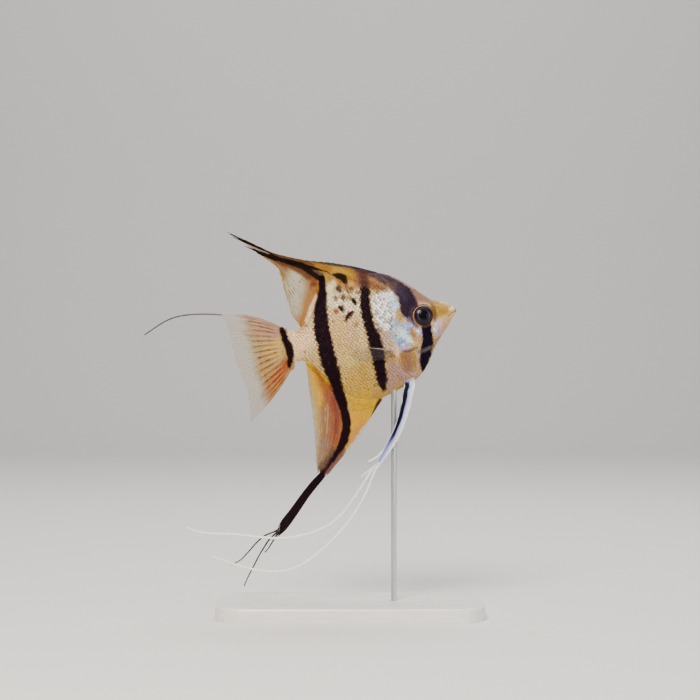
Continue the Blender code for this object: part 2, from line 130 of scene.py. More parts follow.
def noise(x: Array, y: Array, seed: float = 0.0) -> Array:
    """Gives smooth repeatable noise with lumps one unit across.

    Args:
        x: First coordinate.
        y: Second coordinate.
        seed: Which pattern.

    Returns:
        Values from -1 to 1.
    """
    i, j = np.floor(x), np.floor(y)
    fx, fy = x - i, y - j
    fx, fy = fx * fx * (3 - 2 * fx), fy * fy * (3 - 2 * fy)

    def corner(a: Array, b: Array) -> Array:
        """The random value at one lattice corner."""
        h = np.sin(a * 127.1 + b * 311.7 + seed * 74.7) * 43758.5453
        return 2 * (h - np.floor(h)) - 1

    low = corner(i, j) * (1 - fx) + corner(i + 1, j) * fx
    high = corner(i, j + 1) * (1 - fx) + corner(i + 1, j + 1) * fx
    return low * (1 - fy) + high * fy


def linear(code: str) -> Tuple[float, float, float]:
    """Turns an sRGB hex colour into linear light."""
    parts = [int(code[k:k + 2], 16) / 255 for k in (1, 3, 5)]
    return tuple(c / 12.92 if c <= 0.04045 else ((c + 0.055) / 1.055) ** 2.4 for c in parts)


def rgba(code: str) -> Tuple[float, float, float, float]:
    """The hex colour as a socket's four linear numbers."""
    return (*linear(code), 1.0)


# ---------------------------------------------------------------- the fish's own frame


@dataclass(frozen=True)
class Pose:
    """Where the fish's own frame stands in the room."""

    snout: Tuple[float, float, float] = (0.0468, 0.0, 0.1334)
    pitch_deg: float = 12.3

    def to_room(self, points: Array) -> Array:
        """Turns fish millimetres into room metres.

        Args:
            points: (s, y, z) on the last axis.

        Returns:
            (X, Y, Z) on the last axis.
        """
        c, k = math.cos(math.radians(self.pitch_deg)), math.sin(math.radians(self.pitch_deg))
        s, y, z = points[..., 0] * MM, points[..., 1] * MM, points[..., 2] * MM
        return np.stack([self.snout[0] - s * c - z * k, self.snout[1] + y, self.snout[2] - s * k + z * c],
                        -1)


POSE = Pose()


@dataclass(frozen=True)
class BodyForm:
    """The body's profile and thickness, as the solids have them."""

    length: float = 76.4
    top: Stations = (
        (0, 0.9), (2.3, 3.3), (5.4, 5.1), (9.7, 6.8), (12.8, 9.8), (17.6, 15.0), (24.9, 20.9),
        (31.5, 23.9), (38.5, 24.6), (46, 23.6), (53, 20.9), (58.5, 17.2), (63.5, 12.3),
        (67.5, 8.0), (71.5, 6.6), (76.4, 7.6))
    bottom: Stations = (
        (0, -0.9), (2.4, -2.8), (4.4, -5.2), (8.8, -9.7), (12.6, -14.1), (16.4, -19.8),
        (22, -25.2), (29, -28), (36.6, -30.2), (42.5, -31.2), (48, -30.4), (54, -27.4),
        (60, -21.6), (64.5, -14.6), (68.6, -9.0), (72.2, -7.4), (76.4, -8.6))
    half_width: Stations = (
        (0, 1.2), (3, 2.3), (7, 3.3), (12, 4.5), (18, 5.5), (24, 6.1), (30, 6.3), (38, 6.0),
        (46, 5.0), (54, 3.8), (62, 2.7), (70, 1.9), (76.4, 1.3))
    crest: float = 1.9
    edge: float = 0.62
    snout_round: float = 1.3
    tail_round: float = 0.6

    def closing(self, s: Array) -> Array:
        """How far the section is open, 0 at the snout's point and the tail's end.

        Args:
            s: Millimetres behind the snout.

        Returns:
            The share of the full section.
        """
        def rounded(distance: Array, radius: float) -> Array:
            """A quarter circle over the last radius."""
            return np.sqrt(np.maximum(1 - (1 - np.clip(distance / radius, 0, 1)) ** 2, 0))
        return rounded(s, self.snout_round) * rounded(self.length - s, self.tail_round)

    def point(self, s: Array, up: Array, sign: Array) -> Array:
        """Places points on the body's surface.

        Args:
            s: Millimetres behind the snout.
            up: -1 at the belly's keel to 1 at the back's.
            sign: -1 on the right flank, 1 on the left.

        Returns:
            (s, y, z) on the last axis.
        """
        top, bottom, open_ = along(self.top, s), along(self.bottom, s), self.closing(s)
        middle, half = (top + bottom) / 2, (top - bottom) / 2 * open_
        rim = np.maximum(1 - np.abs(up) ** self.crest, 0) ** self.edge
        y = sign * along(self.half_width, s) * open_ * rim
        return np.stack(np.broadcast_arrays(s, y, middle + up * half), -1)

    @staticmethod
    def up_of(down: Array) -> Array:
        """Spaces points from 0 at the back to 1 at the belly as heights of the section, 1 to -1."""
        return 0.55 * (1 - 2 * down) + 0.45 * np.cos(np.pi * down)


FORM = BodyForm()


# ---------------------------------------------------------------- markings


@dataclass(frozen=True)
class Mark:
    """A soft-edged mark of one colour: a streak along a route, or a spot when it has one point.

    Each station of the route is (s, z, half width). Strength is how much of the colour covers
    what lies under it, and ragged how many millimetres its edge breaks up by. Shine and clear,
    where given, are the metallic gleam and see-through share that the mark brings.
    """

    route: Route
    colour: str
    strength: float = 1.0
    soft: float = 0.5
    ragged: float = 0.0
    shine: Optional[float] = None
    clear: Optional[float] = None

    def mask(self, s: Array, z: Array) -> Array:
        """Measures the mark's cover.

        Args:
            s: Millimetres behind the snout.
            z: Millimetres up.

        Returns:
            0 outside to 1 inside.
        """
        stations = list(self.route) if len(self.route) > 1 else list(self.route) * 2
        best = np.full(np.shape(s), 1e9)
        for (s0, z0, h0), (s1, z1, h1) in zip(stations, stations[1:]):
            ds, dz = s1 - s0, z1 - z0
            size = ds * ds + dz * dz
            t = np.clip(((s - s0) * ds + (z - z0) * dz) / size, 0, 1) if size else 0.0
            away = np.hypot(s - s0 - t * ds, z - z0 - t * dz)
            best = np.minimum(best, away - (h0 + t * (h1 - h0)))
        if self.ragged:
            best = best + self.ragged * (noise(s / 0.75, z / 0.75, 17) + noise(s / 0.34, z / 0.34, 23))
        return 1 - smoothstep(-self.soft, self.soft, best)


@dataclass
class Coat:
    """Colours read off a set of marks: linear colour, gleam and see-through share."""

    rgb: Array
    shine: Array
    clear: Array

    def lay(self, mark: Mark, s: Array, z: Array) -> None:
        """Lays one mark over what is there.

        Args:
            mark: The mark.
            s: Millimetres behind the snout.
            z: Millimetres up.
        """
        cover = mark.mask(s, z) * mark.strength
        self.tint(mark.colour, cover)
        if mark.shine is not None:
            self.shine += (mark.shine - self.shine) * cover
        if mark.clear is not None:
            self.veil(mark.clear, cover)

    def tint(self, code: str, cover: Array) -> None:
        """Mixes in a hex colour."""
        self.rgb += (np.array(linear(code)) - self.rgb) * cover[..., None]

    def veil(self, share: float, cover: Array) -> None:
        """Moves the see-through share towards a value."""
        self.clear += (share - self.clear) * cover


@dataclass(frozen=True)
class Markings:
    """A painter's list: a ground shaded from back to belly, then marks laid in order."""

    ground: Tuple[Tuple[float, str], ...]
    marks: Tuple[Mark, ...] = ()
    shine: float = 0.2
    clear: float = 0.0
    wobble: float = 0.3

    def read(self, s: Array, z: Array, seed: float = 0.0) -> Coat:
        """Reads the markings at places on the fish.

        Args:
            s: Millimetres behind the snout.
            z: Millimetres up.
            seed: Which of the wandering edges; the two flanks differ.

        Returns:
            The colours there.
        """
        s = s + self.wobble * (noise(s / 1.7, z / 1.7, seed) + 0.5 * noise(s / 0.7, z / 0.7, seed + 5))
        z = z + self.wobble * (noise(s / 1.9, z / 1.9, seed + 9) + 0.5 * noise(s / 0.8, z / 0.8, seed + 3))
        levels = np.array([level for level, _ in self.ground])
        tones = np.array([linear(tone) for _, tone in self.ground])
        rgb = np.stack([np.interp(z, levels, tones[:, k]) for k in range(3)], -1)
        coat = Coat(rgb, np.full(np.shape(s), self.shine), np.full(np.shape(s), self.clear))
        for mark in self.marks:
            coat.lay(mark, s, z)
        return coat


BLACK = "#110a0a"
BAR = "#190912"

# Bars and marks common to the body and to the fins that carry them on.
BAR_OF_EYE_HIGH = Mark(((40.4, 28.4, 1.4), (35.3, 26, 2.1), (29.4, 22.2, 2.8), (24.4, 17.8, 3.2),
                        (21.2, 12.4, 3.4), (20.4, 8.1, 4), (20, 4.4, 4.1), (19.2, 2, 3.2)),
                       "#2b1e32", 1.0, 0.6, shine=0.1)
MAUVE_OF_NAPE = Mark(((40, 27.4, 1), (33, 23.8, 1.5), (28, 20, 1.9), (24.4, 16.2, 1.7)),
                     "#594749", 0.8, 1.2, shine=0.1)
EDGE_OF_NAPE = Mark(((38.5, 26.6, 0.9), (33, 24.5, 0.9), (29.2, 22.1, 0.9), (24.8, 18.4, 0.8)),
                    "#3a2c32", 0.85, 0.8, shine=0.1)
FOOT_OF_NAPE = Mark(((27.6, 16.8, 0.8), (24.9, 13.6, 1)), "#6e564c", 0.75, 0.9, shine=0.1)
SLATE_OF_NAPE = Mark(((22.8, 13.8, 1.6), (21.6, 9.8, 1.4)), "#42394a", 0.6, 1.6, shine=0.1)
HEAD_OF_BAR = Mark(((37.3, 16.4, 1.9), (37, 20.2, 2), (36.6, 24, 1.9)), "#4a2c26", 0.9, 1.1, shine=0.1)
BAR_OF_EYE_LOW = Mark(((14.6, -3, 2.2), (14.9, -6.2, 2.4), (15.4, -11.4, 2.6), (17.5, -15.9, 2.4),
                       (18.8, -18.9, 2.1), (20, -22.5, 0.8)), "#130920", 1.0, 0.4, shine=0.05)
BAR_OF_FLANK = Mark(((37.4, 16.6, 2.15), (38.1, 13.4, 2.35), (38.8, 9.1, 2.5),
                     (38.9, 5.8, 2.4), (39, 1.1, 2.2), (37.9, -4.3, 2.9), (37.9, -9.8, 3),
                     (38.1, -14.9, 2.8), (38.4, -23.3, 2.3), (38.7, -27, 1.1)), BAR, 1.0, 0.45,
                    shine=0.08)
BAR_OF_FINS = Mark(((55, 26.4, 1.5), (55.5, 22, 1.5), (56.3, 18.6, 2.2), (57.7, 14.3, 2.8),
                    (58.8, 10.2, 3.3), (59.5, 5.5, 3.4), (59.5, 0.4, 3.5), (59.6, -5, 3.55),
                    (59.4, -10.2, 3.55), (59, -15.4, 3.3), (58.4, -20.9, 2.6), (58, -26.4, 2.3),
                    (57.6, -31.9, 1.95), (57.7, -37.2, 1.95), (58.6, -41.5, 1.95), (60.6, -45.4, 1.85),
                    (63.2, -49, 1.5), (67.4, -52.6, 1.4), (71.4, -56.2, 1.6), (75.8, -59.8, 1.8)),
                   BAR, 1.0, 0.45, shine=0.08, clear=0.0)
BAR_OF_TAIL = Mark(((77, 8, 1.1), (76.2, 3.6, 1.75), (75.4, -0.6, 1.85), (75.5, -4.4, 1.6),
                    (76.9, -8.4, 0.9)), "#190c10", 1.0, 0.45, shine=0.05, clear=0.0)
GOLD_OF_BACK = Mark(((33, 22.8, 1.2), (42, 25, 2.6), (50, 28, 3.1), (55.6, 31.4, 2)),
                    "#9c741a", 0.88, 1.3, shine=0.3, clear=0.05)
# A painted highlight: a lighter streak of gold where light falls along the top of the back.
HIGHLIGHT_OF_BACK = Mark(((42.8, 25.4, 0.8), (45.6, 27.6, 1.1), (49.4, 29.2, 0.8)), "#c09c34", 0.75, 1.1,
                   clear=0.05)
PALE_OF_BACK = Mark(((53.4, 18.2, 1.7), (52, 21.4, 1.9), (50.4, 23, 1)), "#efe4ba", 0.9, 1.4,
                    shine=0.3, clear=0.05)
SHADE_OF_FLANK = Mark(((38.6, 26.6, 1.4), (38, 22.4, 1.8), (37.4, 18.2, 1.9)), "#684238", 0.88, 1.0,
                      clear=0.0)
GOLD_OF_BELLY = Mark(((46.4, -27.5, 1.8), (50.5, -32, 3.4), (54.4, -37.5, 2.8)), "#d2a414", 0.94, 3.0,
                     shine=0.3)
SPOT_OF_BACK = Mark(((49.2, 26.6, 0.7), (47.6, 25.6, 1.4), (45.6, 24.2, 1.5), (44.9, 22.2, 1.1)),
                    BLACK, 0.97, 0.35, shine=0.08, clear=0.0)

BODY_MARKS = Markings(
    ground=((-28, "#ae8e44"), (-16, "#bea05e"), (-6, "#c7ab72"), (4, "#ccb280"), (13, "#cfb98c"),
            (20, "#a87a34"), (25, "#855414")),
    shine=0.3,
    marks=(
        Mark(((64.5, 3, 2.6), (69, 0, 3.6), (74, 0, 6)), "#f6cda4", 0.94, 3.0, shine=0.15),
        Mark(((42, 15, 1.4), (45, 11, 3.4), (49, 14.5, 4), (53, 15.5, 2.4)), "#ece2c4", 0.85, 2.4,
             shine=0.42),
        Mark(((42.5, 2, 0.8), (43.5, -8, 1.4), (43, -16, 1)), "#d8c08c", 0.5, 2.4, shine=0.3),
        Mark(((55.6, 6, 0.6), (55.6, -4, 0.9), (54.6, -14, 0.6)), "#d8ae80", 0.5, 1.6, shine=0.25),
        Mark(((28, 14.4, 0.8), (31.6, 17.4, 2), (36, 20.4, 2.4), (40.6, 22.4, 1.8)), "#7a4e30",
             0.92, 1.2, ragged=0.3, shine=0.15),
        Mark(((29.6, 17.8, 0.6), (34.6, 21.6, 0.8)), "#a87c58", 0.6, 0.9),
        Mark(((33.8, 1, 2.6), (33.2, -3.6, 2.8), (32.6, -9.4, 2.3)), "#b69c8c", 0.9, 1.4, ragged=0.5,
             shine=0.3),
        Mark(((26.8, 12.6, 1.6), (31.2, 10.5, 4), (31.4, 5, 4.3), (32, 0.4, 2.6)), "#fbfcfa", 0.97,
             1.1, ragged=0.4, shine=0.5),
        Mark(((26, 11.4, 1), (26, 7.4, 1.4), (28.4, 5.6, 1.2)), "#c4e4fa", 0.9, 0.7, ragged=0.6,
             shine=0.75),
        Mark(((24.6, 5.2, 0.9), (24.9, 1.6, 1.2), (27.2, -0.4, 1)), "#a98e62", 0.85, 1.0, ragged=0.5,
             shine=0.3),
        Mark(((28.4, 0.8, 1.3), (29.4, -3.6, 1)), "#b4d6ee", 0.85, 0.8, ragged=0.6, shine=0.7),
        Mark(((24, -24, 2), (29.5, -22, 4.2), (32.5, -17, 2.2), (35.5, -26, 2.4)), "#a07c78", 0.85, 2.5),
        Mark(((44.6, -16, 3), (49, -23, 5.4), (53.5, -28, 3.6)), "#c09c3c", 0.75, 3.4, shine=0.3),
        GOLD_OF_BELLY,
        GOLD_OF_BACK,
        Mark(((7.4, 5, 1), (12, 8.6, 2.6), (16.4, 11, 3.8), (20.6, 16.8, 1.4)), "#806052", 0.94,
             1.0),
        Mark(((17, 7.4, 0.7), (14, 6.4, 0.8), (11.4, 5.4, 0.6)), "#9c7866", 0.8, 0.6),
        Mark(((5.2, 0.8, 2.4), (8.6, 1.4, 3.4)), "#94701e", 0.94, 2.4, ragged=0.3, shine=0.2),
        Mark(((4.6, 2.6, 0.5), (8.6, 4.4, 0.6)), "#b08c50", 0.6, 0.7),
        Mark(((10.2, 4.6, 0.8), (10, 0.6, 1), (10.4, -2.4, 0.7)), "#5e3c12", 0.8, 0.9),
        Mark(((4.2, -2.6, 0.8), (7.2, -7, 1.4), (12, -13.2, 1.5)), "#c0966c", 0.85, 1.6, ragged=0.3),
        Mark(((6.4, -3.2, 0.4), (9.2, -8.6, 0.5), (12.2, -12.4, 0.4)), "#a08078", 0.55, 0.6),
        Mark(((9.6, -3.8, 1.2), (10.8, -7.6, 1.4)), "#c3b6dc", 0.92, 1.2, ragged=0.9, shine=0.6),
        Mark(((11.2, -5.4, 0.7), (11, -7.2, 0.6)), "#f2e8f4", 0.9, 0.5, ragged=0.5, shine=0.5),
        Mark(((8, -3.6, 0.5), (8.8, -6.2, 0.5)), "#caa0a8", 0.7, 0.6, ragged=0.4, shine=0.4),
        Mark(((20.6, -1.8, 1.4), (23.2, -4.6, 2.6), (26.4, -8, 3), (27.6, -11, 1.4)), "#9fc6ea",
             0.95, 0.9, ragged=0.8, shine=0.75),
        Mark(((30, -1.6, 0.7), (29.4, -5.4, 1.1), (28.4, -9.4, 1)), "#94b4dc", 0.8, 0.8, ragged=0.9,
             shine=0.7),
        Mark(((26.6, -7.4, 0.9), (28.2, -10.8, 0.9)), "#7f86b4", 0.6, 0.7, ragged=0.9, shine=0.7),
        Mark(((22, -2.4, 0.9), (24.4, -1.2, 1), (26.6, -0.8, 0.8)), "#9cb2e8", 0.9, 0.6, ragged=0.6,
             shine=0.65),
        # Near-white cyan cores over the gill cover's own iridescent blue: painted highlights, glints of
        # light on its silver.
        Mark(((26.5, -2.7, 0.8), (25.3, -4.8, 1.5), (23.9, -7.3, 1.3), (22.5, -9.6, 1.2)), "#cdf8ff", 1.0,
             0.5, ragged=0.6, shine=0.5),
        Mark(((25.2, -4.4, 0.5), (23.8, -7.6, 0.5), (22, -10.2, 0.5)), "#f6ffff", 0.9, 0.5,
             ragged=0.5, shine=0.45),
        Mark(((26, -9.6, 0.4), (23.6, -11.6, 0.5)), "#a6a2cc", 0.7, 0.4, ragged=0.5, shine=0.6),
        Mark(((27.8, -3.6, 0.7), (26.8, -6.4, 0.5)), "#e9fbff", 0.9, 0.5, ragged=0.8, shine=0.6),
        Mark(((24.6, -11.4, 1), (28.2, -11.8, 0.7)), "#c3b0e2", 0.85, 0.7, ragged=0.8, shine=0.65),
        Mark(((26.6, -10.2, 0.5),), "#f8f0ff", 0.9, 0.4, ragged=0.4, shine=0.5),
        Mark(((21.2, -3.6, 0.7), (21.4, -5.8, 1.1), (20.2, -7.6, 0.7)), "#a8742a", 0.92, 0.5, ragged=0.4,
             shine=0.3),
        Mark(((19.4, -6.6, 0.5), (18.6, -10.6, 0.7)), "#b89488", 0.8, 0.7),
        Mark(((25.6, -15.6, 2.6), (25.8, -19.6, 2.6)), "#86604c", 0.9, 1.5, ragged=0.4, shine=0.2),
        Mark(((22.6, -15.4, 1.2), (23, -19.6, 1.2)), "#a07c3c", 0.7, 1.0, ragged=0.4, shine=0.25),
        Mark(((20.2, -12.6, 0.4), (23.4, -13.2, 0.6), (27.2, -12.8, 0.4)), "#4a1c1c", 0.85, 0.5),
        Mark(((27.8, -14.2, 0.8), (27.2, -17.6, 0.9)), "#a0682a", 0.8, 0.8),
        Mark(((20.4, -14.2, 0.6), (21.6, -20.6, 0.7)), "#c69a9e", 0.85, 0.7),
        Mark(((29, -9, 0.5), (29.8, -14.4, 0.6)), "#f8c8a4", 0.92, 0.4),
        Mark(((31.6, -13, 0.7), (31.2, -16.4, 1.2)), "#c08a50", 0.6, 0.9, shine=0.25),
        Mark(((51, 6, 2.2), (52.6, -2, 2.6), (52.6, -7, 2)), "#cda660", 0.55, 2.6, shine=0.3),
        Mark(((51.8, -11, 2.2), (47.4, -12.6, 2)), "#cfc070", 0.55, 2.4, shine=0.3),
        Mark(((47.4, 2.6, 1.6), (46, -1, 1.4)), "#c49a80", 0.45, 2.0, shine=0.3),
        Mark(((42.6, 20.8, 1.1), (44.4, 22, 0.8)), "#e0bc68", 0.6, 1.1, shine=0.3),
        Mark(((59.4, 20.4, 0.8), (62, 14.8, 1.3), (65, 9.8, 1.2)), "#ecd2a8", 0.85, 0.8),
        HIGHLIGHT_OF_BACK, PALE_OF_BACK, SHADE_OF_FLANK,
        BAR_OF_EYE_HIGH, MAUVE_OF_NAPE, EDGE_OF_NAPE, FOOT_OF_NAPE, SLATE_OF_NAPE, HEAD_OF_BAR,
        BAR_OF_EYE_LOW, BAR_OF_FLANK, BAR_OF_FINS, BAR_OF_TAIL,
        SPOT_OF_BACK,
        Mark(((18.6, -3.9, 0.6), (20.2, -2, 0.8), (21.6, 0.7, 0.8)), "#584870", 0.92, 0.6,
             ragged=0.3, shine=0.4),
        Mark(((18.7, -4.7, 0.65), (18, -6.9, 0.65)), "#a9a2e6", 0.97, 0.4, ragged=0.3, shine=0.6),
        Mark(((18.5, -5.3, 0.3), (18.1, -6.5, 0.25)), "#f6f2ff", 0.9, 0.3, shine=0.5),
        Mark(((20.2, -14.4, 0.5), (16.5, -14, 0.6), (13.2, -13.2, 0.5)), "#5c5954", 0.9, 0.5),
        Mark(((25.2, 20.6, 0.2), (20.6, 16.8, 0.3), (16.4, 13.2, 0.3)), "#b09684", 0.5, 0.35),
        Mark(((44.9, 21.4, 0.8), (45.2, 18.6, 0.6)), "#5c3a1c", 0.75, 0.6),
        Mark(((48.6, 20.3, 1.25), (48.4, 19.2, 1.2)), "#38240e", 0.97, 0.4),
        Mark(((47.5, 16.3, 1.15), (47.6, 15, 1.15)), "#5c3016", 0.95, 0.4),
        Mark(((50.9, 16.2, 1.15),), "#6e6030", 0.9, 0.4),
        Mark(((45.2, 15.3, 1.1),), "#706c34", 0.9, 0.4),
        Mark(((43.5, 14.1, 1), (43, 12.1, 1)), "#0e0809", 1.0, 0.3, shine=0.08),
        Mark(((49.2, 11.8, 1.2), (48.9, 10.7, 1.15)), "#241410", 1.0, 0.35, shine=0.08),
        Mark(((51.7, 10.6, 1.3),), "#8c4a24", 0.95, 0.5),
        Mark(((45.1, 8.8, 1), (46.5, 7.8, 1.25), (48.1, 6.6, 1.1)), "#32141a", 1.0, 0.35, shine=0.08),
        Mark(((44.4, 3.1, 1.15),), "#80583e", 0.85, 0.6),
        Mark(((43.1, 18.8, 1.05),), "#5a3c20", 0.9, 0.35),
        Mark(((40.8, 16.4, 0.85),), "#5a3c20", 0.85, 0.35),
        Mark(((1.3, 1.4, 0.7), (3, 0.9, 0.5)), "#e8ddd0", 0.7, 0.5),
        Mark(((0.2, -0.1, 0.35),), "#54423a", 0.8, 0.4),
    ))


@dataclass(frozen=True)
class Speckle:
    """Dark salt-and-pepper grains over the pale panel behind the gill cover."""

    at: Tuple[float, float] = (31.2, 4.0)
    size: Tuple[float, float] = (5.0, 11.0)
    share: float = 0.46

    def odds(self, s: Array, z: Array) -> Array:
        """The share of scales that are dark around a place."""
        away = np.hypot((s - self.at[0]) / self.size[0], (z - self.at[1]) / self.size[1])
        return self.share * (1 - smoothstep(0.5, 1.3, away)) + 0.015


# ---------------------------------------------------------------- meshes


def deselect_all() -> None:
    """Leaves nothing selected, so that an operator acts on one piece only."""
    if bpy.context.object and bpy.context.object.mode != "OBJECT":
        bpy.ops.object.mode_set(mode="OBJECT")
    bpy.ops.object.select_all(action="DESELECT")


def take(name: str) -> bpy.types.Object:
    """Names the primitive just added and its mesh.

    Args:
        name: What to call it.

    Returns:
        The primitive.
    """
    made = bpy.context.active_object
    made.name = made.data.name = name
    return made


def pick(piece: bpy.types.Object) -> None:
    """Makes one piece the only selected and the active one.

    Args:
        piece: The piece.
    """
    deselect_all()
    piece.select_set(True)
    bpy.context.view_layer.objects.active = piece


def vertices_of(piece: bpy.types.Object) -> Array:
    """The piece's vertex places as (count, 3).

    Args:
        piece: The piece.

    Returns:
        One row for a vertex.
    """
    places = np.empty(len(piece.data.vertices) * 3)
    piece.data.vertices.foreach_get("co", places)
    return places.reshape(-1, 3)


def settle(piece: bpy.types.Object, places: Array) -> None:
    """Moves the piece's vertices to room places, its own origin at the room's.

    Args:
        piece: The piece.
        places: One row of metres for a vertex.
    """
    piece.location, piece.rotation_euler, piece.scale = (0, 0, 0), (0, 0, 0), (1, 1, 1)
    piece.data.vertices.foreach_set("co", np.ascontiguousarray(places, float).reshape(-1))
    piece.data.update()


def face_out(piece: bpy.types.Object) -> None:
    """Turns every face of a closed piece outwards and shades it smooth.

    Args:
        piece: The piece.
    """
    pick(piece)
    bpy.ops.object.mode_set(mode="EDIT")
    bpy.ops.mesh.select_all(action="SELECT")
    bpy.ops.mesh.normals_make_consistent(inside=False)
    bpy.ops.object.mode_set(mode="OBJECT")
    bpy.ops.object.shade_smooth()
    deselect_all()


def keep_number(piece: bpy.types.Object, name: str, values: Array) -> None:
    """Stores one number per vertex under a name."""
    layer = piece.data.attributes.new(name, "FLOAT", "POINT")
    layer.data.foreach_set("value", np.ascontiguousarray(values, np.float32).reshape(-1))


def keep_colour(piece: bpy.types.Object, name: str, rgb: Array) -> None:
    """Stores one linear colour per vertex under a name.

    Args:
        piece: The piece.
        name: The layer's name.
        rgb: One row for a vertex.
    """
    layer = piece.data.attributes.new(name, "FLOAT_COLOR", "POINT")
    full = np.ones((len(rgb), 4), np.float32)
    full[:, :3] = np.clip(rgb, 0, 1)
    layer.data.foreach_set("color", full.reshape(-1))


def corner_vertices(piece: bpy.types.Object) -> Array:
    """The vertex at each face corner.

    Args:
        piece: The piece.

    Returns:
        One index for a corner.
    """
    corners = np.empty(len(piece.data.loops), np.int32)
    piece.data.loops.foreach_get("vertex_index", corners)
    return corners


def keep_map(piece: bpy.types.Object, name: str, flat: Array) -> None:
    """Stores a UV map, one place per face corner."""
    layer = piece.data.uv_layers.get(name) or piece.data.uv_layers.new(name=name)
    layer.data.foreach_set("uv", np.ascontiguousarray(flat, np.float32).reshape(-1))


def only_map(piece: bpy.types.Object, flat: Array) -> None:
    """Leaves the piece with one UV map, the one its finish is baked to.

    Args:
        piece: The piece.
        flat: One row of 0 to 1 for a corner.
    """
    while piece.data.uv_layers:
        piece.data.uv_layers.remove(piece.data.uv_layers[0])
    keep_map(piece, "OFBake", flat)


def dress(piece: bpy.types.Object, finish: bpy.types.Material) -> None:
    """Gives the piece its one material."""
    piece.data.materials.clear()
    piece.data.materials.append(finish)


def hand_in(piece: bpy.types.Object, finish: bpy.types.Material, slot: str, *nodes: str) -> None:
    """Finishes a piece and ties it to the body and the solids it stands for.

    Args:
        piece: The modelled piece.
        finish: Its finish.
        slot: Not used.
        *nodes: The solids it replaces.
    """
    dress(piece, finish)
    face_out(piece)
    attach(piece, BODY)
    if nodes:
        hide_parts(*nodes)
    log.info("%s: %d faces", piece.name, len(piece.data.polygons))


def shaped_grid(name: str, across: int, down: int) -> Tuple[bpy.types.Object, Array, Array]:
    """Adds a flat grid to be reshaped into a sheet.

    Args:
        name: The piece's name.
        across: Faces along the first way.
        down: Faces along the second way.

    Returns:
        The piece, and each vertex's two places from 0 to 1.
    """
    deselect_all()
    bpy.ops.mesh.primitive_grid_add(x_subdivisions=across, y_subdivisions=down, size=2)
    piece = take(name)
    flat = vertices_of(piece)
    return piece, (flat[:, 0] + 1) / 2, (flat[:, 1] + 1) / 2


def shaped_ball(name: str, segments: int, rings: int) -> Tuple[bpy.types.Object, Array, Array]:
    """Adds a ball to be reshaped into a closed skin or tube.

    Args:
        name: The piece's name.
        segments: Faces around.
        rings: Faces from pole to pole.

    Returns:
        The piece, and each vertex's ring (0 to rings) and segment (0 to segments - 1).
    """
    deselect_all()
    bpy.ops.mesh.primitive_uv_sphere_add(segments=segments, ring_count=rings, radius=1)
    piece = take(name)
    p = vertices_of(piece)
    p /= np.linalg.norm(p, axis=1)[:, None]
    ring = np.rint(np.arccos(np.clip(p[:, 2], -1, 1)) / math.pi * rings).astype(int)
    seg = np.rint(np.arctan2(p[:, 1], p[:, 0]) / (2 * math.pi) * segments).astype(int) % segments
    seg[(ring == 0) | (ring == rings)] = 0
    return piece, ring, seg


def solidify(piece: bpy.types.Object, thick: Array) -> None:
    """Gives a sheet its thickness, vertex by vertex, and closes its rim.

    Args:
        piece: The sheet, in room metres.
        thick: Each vertex's thickness in millimetres.
    """
    most = float(thick.max())
    group = piece.vertex_groups.new(name="thickness")
    levels = np.rint(thick / most * 60).astype(int)
    for level in np.unique(levels):
        group.add(np.nonzero(levels == level)[0].tolist(), level / 60, "REPLACE")
    pick(piece)
    wall = piece.modifiers.new("wall", "SOLIDIFY")
    wall.thickness, wall.offset = most * MM, 0
    wall.vertex_group = group.name
    bpy.ops.object.modifier_apply(modifier=wall.name)
    piece.vertex_groups.clear()
    deselect_all()


# ---------------------------------------------------------------- the eye's place


@dataclass(frozen=True)
class EyePlace:
    """Where an eye sits, how large it is and which way it looks."""

    at: Tuple[float, float, float] = (15.2, 3.5, 0.55)
    radius: float = 4.75
    depth: float = 2.5
    faces: Tuple[float, float, float] = (0.15, 1.0, 0.09)


EYE = EyePlace()


# ---------------------------------------------------------------- skin


@dataclass(frozen=True)
class Fold:
    """A line of relief in the skin, run from its upper end down.

    It is a groove with a lip on either side, and the part ahead of it may stand over the part
    behind it, as a gill cover's plate does.
    """

    route: Tuple[Tuple[float, float], ...]
    depth: float
    half: float
    lip: float = 0.0
    step: float = 0.0
    fade: float = 2.6

    def lift(self, s: Array, z: Array) -> Array:
        """Measures how far the fold raises the skin.

        Args:
            s: Millimetres behind the snout.
            z: Millimetres up.

        Returns:
            Millimetres out of the skin, below 0 in the groove.
        """
        best, ahead, run = np.full(s.shape, 1e9), np.zeros(s.shape), np.zeros(s.shape)
        spans = len(self.route) - 1
        for k, ((s0, z0), (s1, z1)) in enumerate(zip(self.route, self.route[1:])):
            ds, dz = s1 - s0, z1 - z0
            t = np.clip(((s - s0) * ds + (z - z0) * dz) / (ds * ds + dz * dz), 0, 1)
            away = np.hypot(s - s0 - t * ds, z - z0 - t * dz)
            nearer = away < best
            best = np.where(nearer, away, best)
            side = np.sign(dz * (s - s0) - ds * (z - z0))
            ahead = np.where(nearer, side * away, ahead)
            run = np.where(nearer, (k + t) / spans, run)
        ends = smoothstep(0, 0.12, run) * smoothstep(0, 0.12, 1 - run)
        out = -self.depth * np.exp(-(best / self.half) ** 2)
        out = out + self.lip * np.exp(-((best - 2.4 * self.half) / (1.3 * self.half)) ** 2)
        plate = 0.5 * (1 + np.tanh(ahead / 0.14)) * np.exp(-np.maximum(ahead, 0) / self.fade)
        return out * np.where(best < 8 * self.half, 1, 0) * ends + self.step * plate * ends


